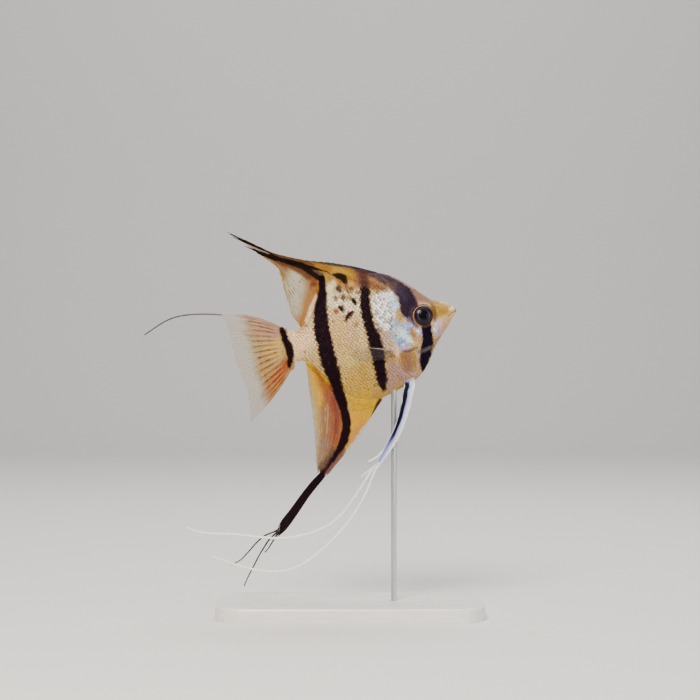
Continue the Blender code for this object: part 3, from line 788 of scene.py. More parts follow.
FOLDS = (
    Fold(((-2.5, 0.3), (0.0, -0.15), (1.4, -0.6), (2.6, -1.15), (3.8, -1.95), (4.5, -2.7)), 0.55, 0.2, 0.16),
    Fold(((2.5, 3.3), (3.7, 1.4), (4.5, -0.9), (5.0, -2.8), (4.5, -4.4)), 0.2, 0.22, 0.07, 0.1, 1.2),
    Fold(((1.6, 2.5), (2.5, 1.2), (2.9, 0.0)), 0.1, 0.18, 0.03),
    Fold(((5.4, -3.3), (6.2, -5.4), (6.6, -7.6)), 0.16, 0.25, 0.05, 0.08, 1.2),
    Fold(((9.4, -3.2), (12.0, -5.2), (15.4, -5.6), (18.6, -4.4)), 0.1, 0.3, 0.06),
    Fold(((18.9, -3.8), (19.8, -8.5), (20.5, -13.6), (21.2, -18.2), (20.8, -21.6), (17.6, -20.4)),
         0.16, 0.28, 0.08, 0.2, 2.2),
    Fold(((16.9, -3.6), (17.4, -8.5), (17.6, -13), (17.4, -17)), 0.1, 0.25, 0.05),
    Fold(((20.8, -12.1), (24.2, -13.0), (28.9, -11.9)), 0.16, 0.25, 0.05, 0.1, 1.6),
    Fold(((24.8, 6.2), (27.1, 1.6), (28.2, -4), (29.4, -10), (29.8, -15.5), (28.6, -20.4), (25.8, -24.2),
          (22.4, -25.6)), 0.22, 0.22, 0.0, 0.42, 3.4),
    Fold(((20.2, -23.2), (23.6, -23.5), (26.6, -21.4)), 0.12, 0.25, 0.05),
    Fold(((8.0, -8.4), (12.2, -12.6), (16.6, -18.4), (20.4, -22.8)), 0.16, 0.25, 0.06),
    Fold(((30.1, -9.8), (31.2, -12.8), (31.4, -15.2)), -0.35, 0.6),
)
NOSTRIL = (9.2, 3.4)
FLESH = ("head", "lower_jaw", "gill_cover_left", "gill_cover_right", "trunk", "tail_stalk")


@dataclass
class Skin:
    """The one skin over all the flesh, from the lips to the tail's root."""

    form: BodyForm = FORM
    around: int = 256
    bare: float = 0.06
    coat: float = 0.26

    def __post_init__(self) -> None:
        """Lays the skin out as rings of places and outward directions."""
        turn = np.linspace(0, 1, 10)[1:] * math.pi / 2
        nose = self.form.snout_round * (1 - np.cos(turn))
        step = 0.165
        head = np.arange(nose[-1] + step, 30.5, step)
        flank = np.arange(30.6, 74.8, 2.6 * step)
        end = self.form.length
        stub = end - self.form.tail_round * (1 - np.sin(np.linspace(0, math.pi / 2, 6)[:-1]))
        shank = np.linspace(flank[-1] + 0.4, stub[0] - 0.3, 4)
        self.s = np.concatenate([[0.0], nose, head, flank, shank, stub, [end]])
        half = self.around // 2
        down = np.linspace(0, 1, half + 1)
        self.down = np.concatenate([down, down[-2:0:-1]])
        self.sign = np.where(np.arange(self.around) <= half, -1.0, 1.0)
        s, down = self.s[:, None], self.down[None, :]
        plain = self.form.point(s, self.form.up_of(down), self.sign[None, :])
        out = self._outward(plain)
        raised = self._relief(plain) - self.inset(plain[..., 0])
        self.places = plain + out * raised[..., None]
        self.out = self._outward(self.places)

    def _outward(self, places: Array) -> Array:
        """The unit directions out of a ring-by-segment skin.

        Args:
            places: The skin's points, by ring and then round it.

        Returns:
            Directions of length 1.
        """
        ahead = np.gradient(places, axis=0)
        wrapped = np.concatenate([places[:, -1:], places, places[:, :1]], 1)
        round_ = (wrapped[:, 2:] - wrapped[:, :-2]) / 2
        out = np.cross(round_, ahead)
        size = np.linalg.norm(out, axis=-1, keepdims=True)
        out = np.where(size > 1e-9, out / np.maximum(size, 1e-9), 0)
        out[0], out[-1] = (-1, 0, 0), (1, 0, 0)
        outward = np.sign((out[40:-20, 5, 1] * self.sign[5]).mean())
        out[1:-1] *= outward
        return out

    def inset(self, s: Array) -> Array:
        """How far the skin lies under the solids: little on the bare snout, a coat's depth behind."""
        return self.bare + (self.coat - self.bare) * smoothstep(7, 15, s)

    def _relief(self, places: Array) -> Array:
        """Raises and lowers the skin at folds, nostrils and eye sockets.

        Args:
            places: The skin's points.

        Returns:
            Millimetres outwards.
        """
        s, z = places[..., 0], places[..., 2]
        lift = sum(fold.lift(s, z) for fold in FOLDS)
        eye = np.hypot(s - EYE.at[0], z - EYE.at[2])
        rim = 0.34 * np.exp(-((eye - EYE.radius - 0.5) / 0.42) ** 2)
        rim -= 0.16 * np.exp(-((eye - EYE.radius - 1.7) / 0.5) ** 2)
        socket = -1.6 * (1 - smoothstep(EYE.radius - 1.1, EYE.radius + 0.02, eye))
        hole = np.hypot(s - NOSTRIL[0], z - NOSTRIL[1])
        nostril = 0.16 * np.exp(-((hole - 0.62) / 0.2) ** 2) - 0.55 * np.exp(-(hole / 0.36) ** 2)
        lift = lift * smoothstep(EYE.radius - 0.5, EYE.radius + 0.8, eye)
        soft = 0.035 * noise(s / 1.4, z / 1.4, 2) + 0.02 * noise(s / 0.55, z / 0.55, 8)
        return lift + rim + socket + nostril + soft * (1 - smoothstep(24, 30, s))

    def unwrap(self, s: Array, down: Array, sign: Array) -> Array:
        """Lays a place on the skin's own flat pattern, slit along the back.

        Args:
            s: Millimetres behind the snout.
            down: 0 at the back to 1 at the belly.
            sign: -1 on the right flank, 1 on the left.

        Returns:
            The place on the pattern, 0 to 1 each way.
        """
        girth = np.where(sign < 0, down / 2, 1 - down / 2)
        return np.stack([0.01 + 0.98 * s / self.form.length, 0.01 + 0.98 * girth], -1)

    def build(self, finish: bpy.types.Material) -> bpy.types.Object:
        """Models the skin.

        Args:
            finish: The skin's finish.

        Returns:
            The piece.
        """
        piece, ring, seg = shaped_ball("skin", self.around, len(self.s) - 1)
        places = self.places[ring, seg]
        settle(piece, POSE.to_room(places))
        corners = corner_vertices(piece)
        only_map(piece, np.stack([0.01 + 0.98 * self.s[ring[corners]] / self.form.length,
                                  0.01 + 0.98 * self._turn_of(piece, ring[corners], seg[corners])], -1))
        coat = BODY_MARKS.read(places[:, 0], places[:, 2], 0)
        other = BODY_MARKS.read(places[:, 0], places[:, 2], LEFT_SEED)
        left = (places[:, 1] > 0)[:, None]
        rgb = np.where(left, other.rgb, coat.rgb)
        eye = np.hypot(places[:, 0] - EYE.at[0], places[:, 2] - EYE.at[2])
        # A dark ring round the eye: partly the dark skin of its rim, partly painted shade where the rim
        # meets the socket.
        socket_shade = np.exp(-((eye - EYE.radius - 0.2) / 0.3) ** 2)[:, None]
        rgb = rgb + (np.array(linear("#46302a")) - rgb) * 0.85 * socket_shade
        keep_colour(piece, "tint", rgb)
        keep_number(piece, "shine", coat.shine)
        hand_in(piece, finish, "skin", *FLESH)
        return piece

    def _turn_of(self, piece: bpy.types.Object, ring: Array, seg: Array) -> Array:
        """Reads how far round the pattern each corner lies, 1 where a face closes at the slit.

        Args:
            piece: The skin.
            ring: Each corner's ring.
            seg: Each corner's place round it.

        Returns:
            0 to 1.
        """
        starts = np.empty(len(piece.data.polygons), np.int32)
        piece.data.polygons.foreach_get("loop_start", starts)
        sizes = np.diff(np.append(starts, len(seg)))
        most = np.repeat(np.maximum.reduceat(seg, starts), sizes) / self.around
        turn = seg / self.around
        turn = np.where((seg == 0) & (most > 0.5), 1.0, turn)
        return np.where((ring == 0) | (ring == len(self.s) - 1), most, turn)


class Flank:
    """One side of the skin laid out flat, in mm behind the snout and mm of girth.

    Girth is measured up from a mid-line that follows the body, so that rows of scales run the
    way they grow.
    """

    def __init__(self, skin: Skin, side: Side) -> None:
        """Tabulates the skin of one side.

        Args:
            skin: The whole skin.
            side: Which flank.
        """
        self.skin, self.side = skin, side
        half = skin.around // 2
        columns = np.arange(half + 1)
        if side is Side.LEFT:
            columns = (-columns) % skin.around
        self.places, self.out = skin.places[:, columns], skin.out[:, columns]
        self.down = np.linspace(0, 1, half + 1)
        run = np.linalg.norm(np.diff(self.places, axis=1), axis=-1)
        arc = np.concatenate([np.zeros((len(skin.s), 1)), np.cumsum(run, 1)], 1)
        z = self.places[..., 2]
        self.girths = np.arange(-45, 45.1, 0.25)
        self.table = np.empty((len(skin.s), len(self.girths)))
        for k in range(len(skin.s)):
            middle = 0.35 * (z[k, 0] + z[k, -1]) / 2
            at_middle = np.interp(-middle, -z[k], arc[k])
            self.table[k] = np.interp(at_middle - self.girths, arc[k], self.down)

    @staticmethod
    def _blend(table: Array, row: Array, column: Array) -> Array:
        """Reads a table between its rows and columns.

        Args:
            table: The values.
            row: A place among the rows.
            column: And among the columns.

        Returns:
            The values there.
        """
        i = np.clip(np.floor(row).astype(int), 0, table.shape[0] - 2)
        j = np.clip(np.floor(column).astype(int), 0, table.shape[1] - 2)
        a, b = np.clip(row - i, 0, 1), np.clip(column - j, 0, 1)
        if table.ndim == 3:
            a, b = a[..., None], b[..., None]
        return ((table[i, j] * (1 - a) + table[i + 1, j] * a) * (1 - b)
                + (table[i, j + 1] * (1 - a) + table[i + 1, j + 1] * a) * b)

    def down_at(self, s: Array, girth: Array) -> Array:
        """How far down the flank a place lies, 0 at the back to 1 at the belly."""
        row = np.interp(s, self.skin.s, np.arange(len(self.skin.s)))
        return self._blend(self.table, row, (girth - self.girths[0]) / 0.25)

    def place(self, s: Array, girth: Array, height: Array) -> Array:
        """Places points over the skin.

        Args:
            s: Millimetres behind the snout.
            girth: Millimetres of girth above the mid-line.
            height: Millimetres out of the skin.

        Returns:
            (s, y, z) on the last axis.
        """
        row = np.interp(s, self.skin.s, np.arange(len(self.skin.s)))
        column = self.down_at(s, girth) * (len(self.down) - 1)
        out = self._blend(self.out, row, column)
        out /= np.maximum(np.linalg.norm(out, axis=-1, keepdims=True), 1e-9)
        return self._blend(self.places, row, column) + out * np.asarray(height)[..., None]


# ---------------------------------------------------------------- scales


@dataclass(frozen=True)
class ScaleField:
    """One area of scales: their spacing, size and how far their rear edges stand up."""

    pitch: float
    rows: float
    length: float
    width: float
    proud: float
    sunk: float = 0.14
    thick: float = 0.085


@dataclass
class Plate:
    """One scale as it is modelled: a thin round plate, crowned, with a fuller rear edge."""

    segments: int = 12
    layers: int = 4

    def model(self) -> Tuple[Array, List[Tuple[int, ...]]]:
        """Shapes the plate from a flattened ball.

        Returns:
            Vertices as (rearward, up, out), each from -1 to 1, and the faces.
        """
        piece, ring, seg = shaped_ball("plate", self.segments, self.layers)
        turn = seg / self.segments * 2 * math.pi
        reach = np.array([0.0, 0.66, 1.0, 0.66, 0.0])[ring]
        out = np.array([0.55, 0.5, 0.0, -0.5, -0.5])[ring]
        rear, up = np.cos(turn), np.sin(turn)
        power = np.where(rear > 0, 2.25, 2.9)
        size = (np.abs(rear) ** power + np.abs(up) ** power) ** (-1 / power)
        faces = [tuple(face.vertices) for face in piece.data.polygons]
        shape = np.stack([rear * size * reach, up * size * reach, out], -1)
        bpy.data.objects.remove(piece)
        return shape, faces


def joined(name: str, places: Array, faces: List[Tuple[int, ...]]) -> bpy.types.Object:
    """Joins copies of one small shape into a piece.

    Args:
        name: The piece's name.
        places: Vertices of every copy in the room, as (copies, vertices, 3).
        faces: The faces of one copy.

    Returns:
        The piece.
    """
    copies, each = places.shape[:2]
    corners = np.array([v for face in faces for v in face])
    sizes = np.array([len(face) for face in faces])
    all_corners = (corners[None] + np.arange(copies)[:, None] * each).reshape(-1)
    all_sizes = np.tile(sizes, copies)
    mesh = bpy.data.meshes.new(name)
    mesh.vertices.add(copies * each)
    mesh.vertices.foreach_set("co", places.reshape(-1))
    mesh.loops.add(len(all_corners))
    mesh.loops.foreach_set("vertex_index", all_corners.astype(np.int32))
    mesh.polygons.add(len(all_sizes))
    starts = np.concatenate([[0], np.cumsum(all_sizes)[:-1]])
    mesh.polygons.foreach_set("loop_start", starts.astype(np.int32))
    mesh.polygons.foreach_set("use_smooth", np.ones(len(all_sizes), bool))
    mesh.update(calc_edges=True)
    piece = bpy.data.objects.new(name, mesh)
    bpy.context.scene.collection.objects.link(piece)
    return piece


def map_patches(piece: bpy.types.Object, root: Array, x: Array, y: Array) -> None:
    """Lays each scale on the pattern as a small patch at its root's place, with its fan of furrows.

    Args:
        piece: The scales.
        root: Each root's place on the pattern.
        x: How far along a scale each of its points is, -1 to 1.
        y: How far across it.
    """
    patch = root[:, None] + PATCH * np.stack([x, y], -1)[None]
    only_map(piece, patch.reshape(-1, 2)[corner_vertices(piece)])
    keep_number(piece, "fan", np.tile(np.arctan2(y, x + 1.1), len(root)))


@dataclass
class ScaleCoat:
    """All the scales of the body: rows of plates that lap rearwards over the skin."""

    skin: Skin
    seed: int = 11
    flank: ScaleField = ScaleField(1.5, 1.12, 2.7, 2.3, 0.1)
    crest: ScaleField = ScaleField(1.08, 0.8, 1.95, 1.6, 0.08)
    cheek: ScaleField = ScaleField(1.0, 0.76, 1.75, 1.5, 0.06)

    def __post_init__(self) -> None:
        """Models the one plate that is copied."""
        self.shape, self.faces = Plate().model()

    @staticmethod
    def gill_edge(z: Array) -> Array:
        """How far behind the snout the gill cover ends at a height."""
        return np.interp(z, [-26, -24, -20.4, -15.5, -10, -4, 1.6, 6, 12, 23, 30],
                         [20.5, 25.8, 28.6, 29.8, 29.4, 28.2, 27.1, 25.4, 25.2, 27.6, 30])

    def _seats(self, field: ScaleField, rng: np.random.Generator) -> Tuple[Array, Array]:
        """Lays out a field's rows over the whole flank, staggered row by row.

        Args:
            field: The field's sizes.
            rng: The source of small irregularities.

        Returns:
            Each seat's place behind the snout and around the flank.
        """
        rows = np.arange(-52, 52) if field.rows > 1 else np.arange(-68, 68)
        steps = np.arange(int(76 / field.pitch) + 2)
        girth, s = np.meshgrid(rows * field.rows, steps * field.pitch, indexing="ij")
        s = s + (rows % 2)[:, None] * field.pitch / 2
        s = s + rng.normal(0, 0.07 * field.pitch, s.shape)
        girth = girth + rng.normal(0, 0.05 * field.rows, s.shape)
        return s.reshape(-1), girth.reshape(-1)

    def _inside(self, kind: str, s: Array, down: Array, z: Array) -> Array:
        """Tells which seats belong to a field.

        Args:
            kind: The field's name.
            s: Millimetres behind the snout.
            down: 0 at the back to 1 at the belly.
            z: Millimetres up.

        Returns:
            True where the field has a scale.
        """
        edge = self.gill_edge(z)
        inner = (down > 0.15) & (down < 0.85)
        behind = (s > edge + 0.9) & (s < 75.6) & (down > 0.02) & (down < 0.98)
        eye = np.hypot(s - EYE.at[0], z - EYE.at[2])
        nape = (s > 15.5 + 0.12 * (12 - z)) & (z > 4.5)
        cover = (s > 17.6) & (z <= 4.5) & (z > -22)
        jaw = (s > 8.8) & (s <= 17.6) & (z < -4.6) & (z > -10 - (s - 8.8))
        head = (nape | cover | jaw) & (s <= edge - 0.2) & (eye > EYE.radius + 1.5) & (down > 0.03)
        head &= down < 0.97
        if kind == "flank":
            return behind & inner
        if kind == "crest":
            return behind & ~inner
        return head

    def build(self, side: Side, kind: str, finish: bpy.types.Material) -> bpy.types.Object:
        """Models one field of scales on one flank.

        Args:
            side: Which flank.
            kind: flank, crest or cheek.
            finish: The scales' finish.

        Returns:
            The piece.
        """
        field: ScaleField = getattr(self, kind)
        order = ("flank", "crest", "cheek").index(kind)
        rng = np.random.default_rng(self.seed + 10 * order + side.value)
        flank = Flank(self.skin, side)
        s, girth = self._seats(field, rng)
        s = np.clip(s, 0.5, 75.9)
        down = flank.down_at(s, girth)
        on_skin = np.abs(flank.down_at(s, girth + 0.3) - flank.down_at(s, girth - 0.3)) > 1e-5
        z = flank.place(s, girth, np.zeros_like(s))[:, 2]
        keep = self._inside(kind, s, down, z) & on_skin
        s, girth, down, z = s[keep], girth[keep], down[keep], z[keep]
        count = len(s)
        size = 1 + rng.normal(0, 0.05, count)
        turn = rng.normal(0, 0.06, count)
        shrink = 1 - 0.35 * smoothstep(66, 76, s)
        length, width = field.length * size * shrink / 2, field.width * size * shrink / 2
        x, y, h = self.shape.T
        ahead = x[None] * length[:, None]
        up = y[None] * width[:, None]
        c, k = np.cos(turn)[:, None], np.sin(turn)[:, None]
        ahead, up = ahead * c - up * k, ahead * k + up * c
        tilt = -field.sunk + (field.proud + field.sunk) * ((x + 1) / 2)[None] ** 1.3
        crown = 0.05 * (1 - y ** 2)[None]
        height = tilt + crown + field.thick * h[None] + rng.normal(0, 0.012, count)[:, None]
        places = flank.place(s[:, None] + ahead, girth[:, None] + up, height)
        piece = joined(f"scales_{kind}_{side.word}", POSE.to_room(places), self.faces)
        self._paint(piece, places, s, z, down, length, side, rng)
        hand_in(piece, finish, "skin")
        return piece

    def _paint(self, piece: bpy.types.Object, places: Array, s: Array, z: Array, down: Array,
               length: Array, side: Side, rng: np.random.Generator) -> None:
        """Colours a field of scales, each mostly of one tone so that bars end in steps.

        Args:
            piece: The field's piece.
            places: Its points, one row for a scale.
            s: Each scale's place behind the snout.
            z: Its height.
            down: 0 at the back to 1 at the belly.
            length: Its length.
            side: Which flank.
            rng: The source of small irregularities.
        """
        seed = 0 if side is Side.RIGHT else LEFT_SEED
        count, each = places.shape[:2]
        own = BODY_MARKS.read(s + 0.35 * length, z, seed)
        local = BODY_MARKS.read(places[..., 0], places[..., 2], seed)
        rgb = own.rgb[:, None] * 0.6 + local.rgb * 0.4
        light = own.rgb.mean(-1)
        tone = 1 + rng.normal(0, 0.04, (count, 1, 1))
        silver = smoothstep(0.45, 0.7, own.shine)[:, None, None]
        tone = tone + silver * rng.normal(0, 0.13, (count, 1, 1))
        warm = 1 + (0.035 + 0.09 * silver) * rng.normal(0, 1, (count, 1, 1)) * np.array([1.0, 0.2, -1.2])
        rgb = np.clip(rgb * tone * warm, 0, 0.95)
        dark = (rng.random(count) < Speckle().odds(s, z)) & (light > 0.25)
        x, y, _ = self.shape.T
        heart = np.exp(-((x - 0.66) ** 2 + (1.1 * y) ** 2) / 0.3)
        rgb = rgb * (1 - dark[:, None] * heart * rng.uniform(0.85, 1.0, (count, 1)))[..., None]
        shine = np.where(dark, 0.1, own.shine * (1 + rng.normal(0, 0.2, count)))
        keep_colour(piece, "tint", rgb.reshape(-1, 3))
        keep_number(piece, "shine", np.repeat(np.clip(shine, 0, 1), each))
        lap = smoothstep(0.8, 1.0, np.hypot(x, y)) * (x > 0)
        rim = np.clip(smoothstep(0.25, 0.7, np.abs(y)) + 0.25 * lap, 0, 1)
        calm = (1 - 0.6 * smoothstep(62, 70, s)) * (1 - 0.7 * silver[:, 0, 0])
        keep_number(piece, "rim", (calm[:, None] * rim[None]).reshape(-1))
        sign = np.full(count, float(side.value))
        map_patches(piece, self.skin.unwrap(s - length * 0.8, down, sign), x, y)


# ---------------------------------------------------------------- fins


@dataclass(frozen=True)
class Fan:
    """A fin's surface, whose rays are read between its key rays.

    Each key ray is the place of its base, how far it bows and its tip (s, z). The fin leans to
    the left by sway at its far edge.
    """

    rays: RayKeys
    root: Callable[[Array], Array]
    sway: float = 0.0
    lag: float = 2.0

    def point(self, u: Array, v: Array) -> Array:
        """Places points on the fin.

        Args:
            u: 0 at the first ray to 1 at the last.
            v: 0 at the base to 1 at the tip.

        Returns:
            (s, y, z) on the last axis.
        """
        bases = self.root(np.array([base for base, _, _ in self.rays], float))
        tips = np.array([tip for _, _, tip in self.rays], float)
        longest = np.linalg.norm(tips - bases, axis=1).max()
        base = smooth_through(bases, u)
        bow = smooth_through([(b,) for _, b, _ in self.rays], u)
        at = np.arange(len(tips)) / (len(tips) - 1)
        straight = np.stack([np.interp(u, at, tips[:, 0]), np.interp(u, at, tips[:, 1])], -1)
        tip = 0.4 * straight + 0.6 * smooth_through(tips, u)
        run = tip - base
        middle = (base + tip) / 2 + np.stack([-run[..., 1], run[..., 0]], -1) * bow * 2
        v = np.asarray(v)[..., None]
        p = (1 - v) ** 2 * base + 2 * v * (1 - v) * middle + v * v * tip
        out = np.linalg.norm(p - base, axis=-1) / longest
        return np.stack([p[..., 0], self.sway * out ** self.lag, p[..., 1]], -1)


@dataclass(frozen=True)
class Rays:
    """How a fin's rays are set: how many, how many are plain spines, and where they branch."""

    count: int
    spines: int = 0
    branch: float = 0.45
    spread: float = 0.2
    narrow: float = 0.15
    fray: Tuple[Tuple[float, float], ...] = ((0, 0.01), (1, 0.03))
    ragged: Tuple[Tuple[float, float], ...] = ((0, 0.0), (1, 0.01))
    seed: int = 1

    def ridge(self, u: Array, v: Array) -> Array:
        """How near a place is to a ray's middle, 1 on it and 0 between rays.

        Args:
            u: 0 at the leading edge to 1 at the hind one.
            v: 0 at the root to 1 at the edge.

        Returns:
            The nearness.
        """
        phase = u * self.count
        part = phase - np.floor(phase)
        soft = (np.floor(phase) >= self.spines).astype(float)
        one = self.spread * smoothstep(self.branch, self.branch + 0.3, v) * soft
        two = 0.45 * self.spread * smoothstep(self.branch + 0.25, self.branch + 0.5, v) * soft
        best = np.zeros(np.shape(part))
        thin = self.narrow * (1 - 0.45 * smoothstep(self.branch, 1, v) * soft)
        for a in (-1, 1):
            for b in (-1, 1):
                best = np.maximum(best, np.exp(-((part - 0.5 + a * one + b * two) / thin) ** 2))
        return best

    def edge(self, u: Array) -> Array:
        """How much of its length the fin reaches, notched between rays.

        Args:
            u: 0 at the leading edge to 1 at the hind one.

        Returns:
            The share of its length.
        """
        phase = u * self.count
        part = phase - np.floor(phase)
        notch = np.interp(u, *np.array(self.fray).T) * np.abs(2 * part - 1) ** 1.4
        random = np.random.default_rng(self.seed).random(self.count)
        ends = np.interp(phase - 0.5, np.arange(self.count), random)
        return 1 - notch - np.interp(u, *np.array(self.ragged).T) * ends

    def tone(self, u: Array) -> Array:
        """A random value of each ray's own, -1 to 1."""
        random = np.random.default_rng(self.seed + 50).uniform(-1, 1, self.count + 1)
        return random[np.clip((u * self.count).astype(int), 0, self.count)]


Painter = Callable[[Coat, Array, Array, Array, Array], None]


@dataclass
class Fin:
    """One fin as a thin membrane thickened along its rays."""

    name: str
    slot: str
    surface: Callable[[Array, Array], Array]
    rays: Rays
    markings: Markings
    across: int
    along_: int
    root_thick: float = 1.0
    web_thick: float = 0.2
    ray_thick: float = 0.28
    paint: Optional[Painter] = None
    seed: float = 0.0

    def build(self, finish: bpy.types.Material) -> bpy.types.Object:
        """Models the fin.

        Args:
            finish: The fin's finish.

        Returns:
            The piece.
        """
        across, down = ((self.across, self.along_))
        piece, u, v = shaped_grid(self.name, across, down)
        even = v
        v = v * self.rays.edge(u)
        places = self.surface(u, v)
        ridge = self.rays.ridge(u, v)
        settle(piece, POSE.to_room(places))
        thick = self.thickness(v, ridge)
        coat = self.markings.read(places[:, 0], places[:, 2], self.seed)
        if self.paint:
            barred = Coat(coat.rgb.copy(), coat.shine, coat.clear.copy())
            self.paint(coat, u, v, ridge, self.rays.tone(u))
            bar = 1 - smoothstep(0.012, 0.06, barred.rgb.mean(-1))
            coat.rgb += (barred.rgb - coat.rgb) * bar[:, None]
            coat.clear += (barred.clear - coat.clear) * bar
        web = np.clip(coat.clear, 0, 1)
        veiled = 0.6 - 0.36 * smoothstep(0.6, 0.9, web)
        web = web * (1 - veiled * ridge) * smoothstep(0.0, 0.12, v)
        keep_colour(piece, "tint", coat.rgb)
        keep_number(piece, "shine", coat.shine)
        keep_number(piece, "clear", web)
        keep_number(piece, "ray", ridge)
        start = self.surface(u, np.zeros_like(v))
        keep_number(piece, "reach", np.linalg.norm(places - start, axis=1))
        count = len(u)
        solidify(piece, thick)
        self._unwrap(piece, u, even, count)
        hand_in(piece, finish, self.slot, self.name)
        return piece

    def thickness(self, v: Array, ridge: Array) -> Array:
        """How thick the fin is: fleshy at its base, thin in the web, fuller on a ray.

        Args:
            v: 0 at the root to 1 at the edge.
            ridge: 1 on a ray to 0 between rays.

        Returns:
            Millimetres.
        """
        taper = np.exp(-((v / 0.16) ** 1.5))
        return (self.web_thick + (self.root_thick - self.web_thick) * taper
                + self.ray_thick * ridge * (1 - 0.65 * v) * (1 - taper))

    @staticmethod
    def _unwrap(piece: bpy.types.Object, u: Array, v: Array, count: int) -> None:
        """Lays the two faces of the fin side by side on its pattern.

        Args:
            piece: The piece.
            u: Each point's place across one face.
            v: And along its rays.
            count: How many points a face has.
        """
        corners = corner_vertices(piece)
        starts = np.empty(len(piece.data.polygons), np.int32)
        piece.data.polygons.foreach_get("loop_start", starts)
        sizes = np.diff(np.append(starts, len(corners)))
        back = corners >= count
        all_back = np.repeat(np.minimum.reduceat(back.astype(int), starts), sizes) == 1
        rim = back & ~all_back
        x, y = u[corners % count], v[corners % count]
        x, y = np.where(rim, 0.5 + (x - 0.5) * 1.02, x), np.where(rim, 0.5 + (y - 0.5) * 1.02, y)
        only_map(piece, np.stack([np.where(all_back, 0.51, 0.01) + 0.48 * x, 0.01 + 0.98 * y], -1))


@dataclass
class FinScales:
    """The small scales that climb a fin's fleshy base on both faces, shrinking as they go.

    Reach gives how many millimetres up the rays they run, along the fin.
    """

    fin: Fin
    reach: Stations
    start: float = 0.9
    longest: float = 1.9
    seed: int = 5

    def _seats(self, rng: np.random.Generator) -> Tuple[Array, Array, Array]:
        """Lays the scales out in staggered rows along the base.

        Args:
            rng: The source of small irregularities.

        Returns:
            Each scale's place across the fin, up the ray, and its size as a share of the longest.
        """
        surface = self.fin.surface
        fine = np.linspace(0.01, 0.99, 500)
        length = np.linalg.norm(surface(fine, np.ones(500)) - surface(fine, np.zeros(500)), axis=1)
        us, vs, sizes = [], [], []
        up, row = self.start, 0
        while up < max(far for _, far in self.reach):
            size = 1 - 0.55 * smoothstep(0, 7, up)
            line = surface(fine, np.clip(up / length, 0, 1))
            run = np.concatenate([[0], np.cumsum(np.linalg.norm(np.diff(line, axis=0), axis=1))])
            step = 0.44 * self.longest * size
            at = np.arange(0.5 * step * (1 + row % 2), run[-1], step)
            at = at + rng.normal(0, 0.08 * step, len(at))
            u = np.interp(at, run, fine)
            here = np.interp(u, fine, length)
            keep = (up < along(self.reach, u)) & (up + 0.8 < here)
            us.append(u[keep])
            vs.append((up + rng.normal(0, 0.05, len(u)))[keep] / here[keep])
            sizes.append(np.full(keep.sum(), size))
            up, row = up + 0.36 * self.longest * size, row + 1
        return np.concatenate(us), np.concatenate(vs), np.concatenate(sizes)

    def build(self, side: Side, finish: bpy.types.Material) -> bpy.types.Object:
        """Models the scales on one face of the fin.

        Args:
            side: Which face.
            finish: The scales' finish.

        Returns:
            The piece.
        """
        rng = np.random.default_rng(self.seed + side.value)
        shape, faces = Plate(10).model()
        u, v, size = self._seats(rng)
        here = self.fin.surface(u, v)
        up = self.fin.surface(u, v + 0.02) - here
        up /= np.linalg.norm(up, axis=1)[:, None]
        out = np.array([0.0, side.value, 0.0])
        over = np.cross(up, out)
        x, y, h = shape.T
        half = 0.5 * self.longest * size[:, None]
        lift = self.fin.thickness(v, np.ones_like(v))[:, None] / 2 + size[:, None] * (
            0.07 * x[None] + 0.05 * h[None]) - 0.015
        places = (here[:, None] + (x[None] * half)[..., None] * up[:, None]
                  + (0.8 * y[None] * half)[..., None] * over[:, None] + lift[..., None] * out)
        piece = joined(f"scales_{self.fin.name}_{side.word}", POSE.to_room(places), faces)
        own = self.fin.markings.read(places[..., 0], places[..., 2], self.fin.seed)
        tone = 1 + rng.normal(0, 0.05, (len(u), 1, 1))
        keep_colour(piece, "tint", (own.rgb * tone).reshape(-1, 3))
        keep_number(piece, "shine", np.minimum(own.shine, 0.3))
        rim = 0.8 * smoothstep(0.25, 0.7, np.abs(y)) + 0.2 * (x > 0.9)
        keep_number(piece, "rim", np.tile(rim, len(u)))
        across = (0.01 if side is Side.RIGHT else 0.51) + 0.48 * u
        map_patches(piece, np.stack([across, 0.01 + 0.97 * v], -1), x, y)
        hand_in(piece, finish, "skin")
        return piece


def on_line(profile: Stations, buried: float) -> Callable[[Array], Array]:
    """Roots a fin's rays along the body's profile, a little way inside it."""
    return lambda base: np.stack([base, along(profile, base) + buried], -1)


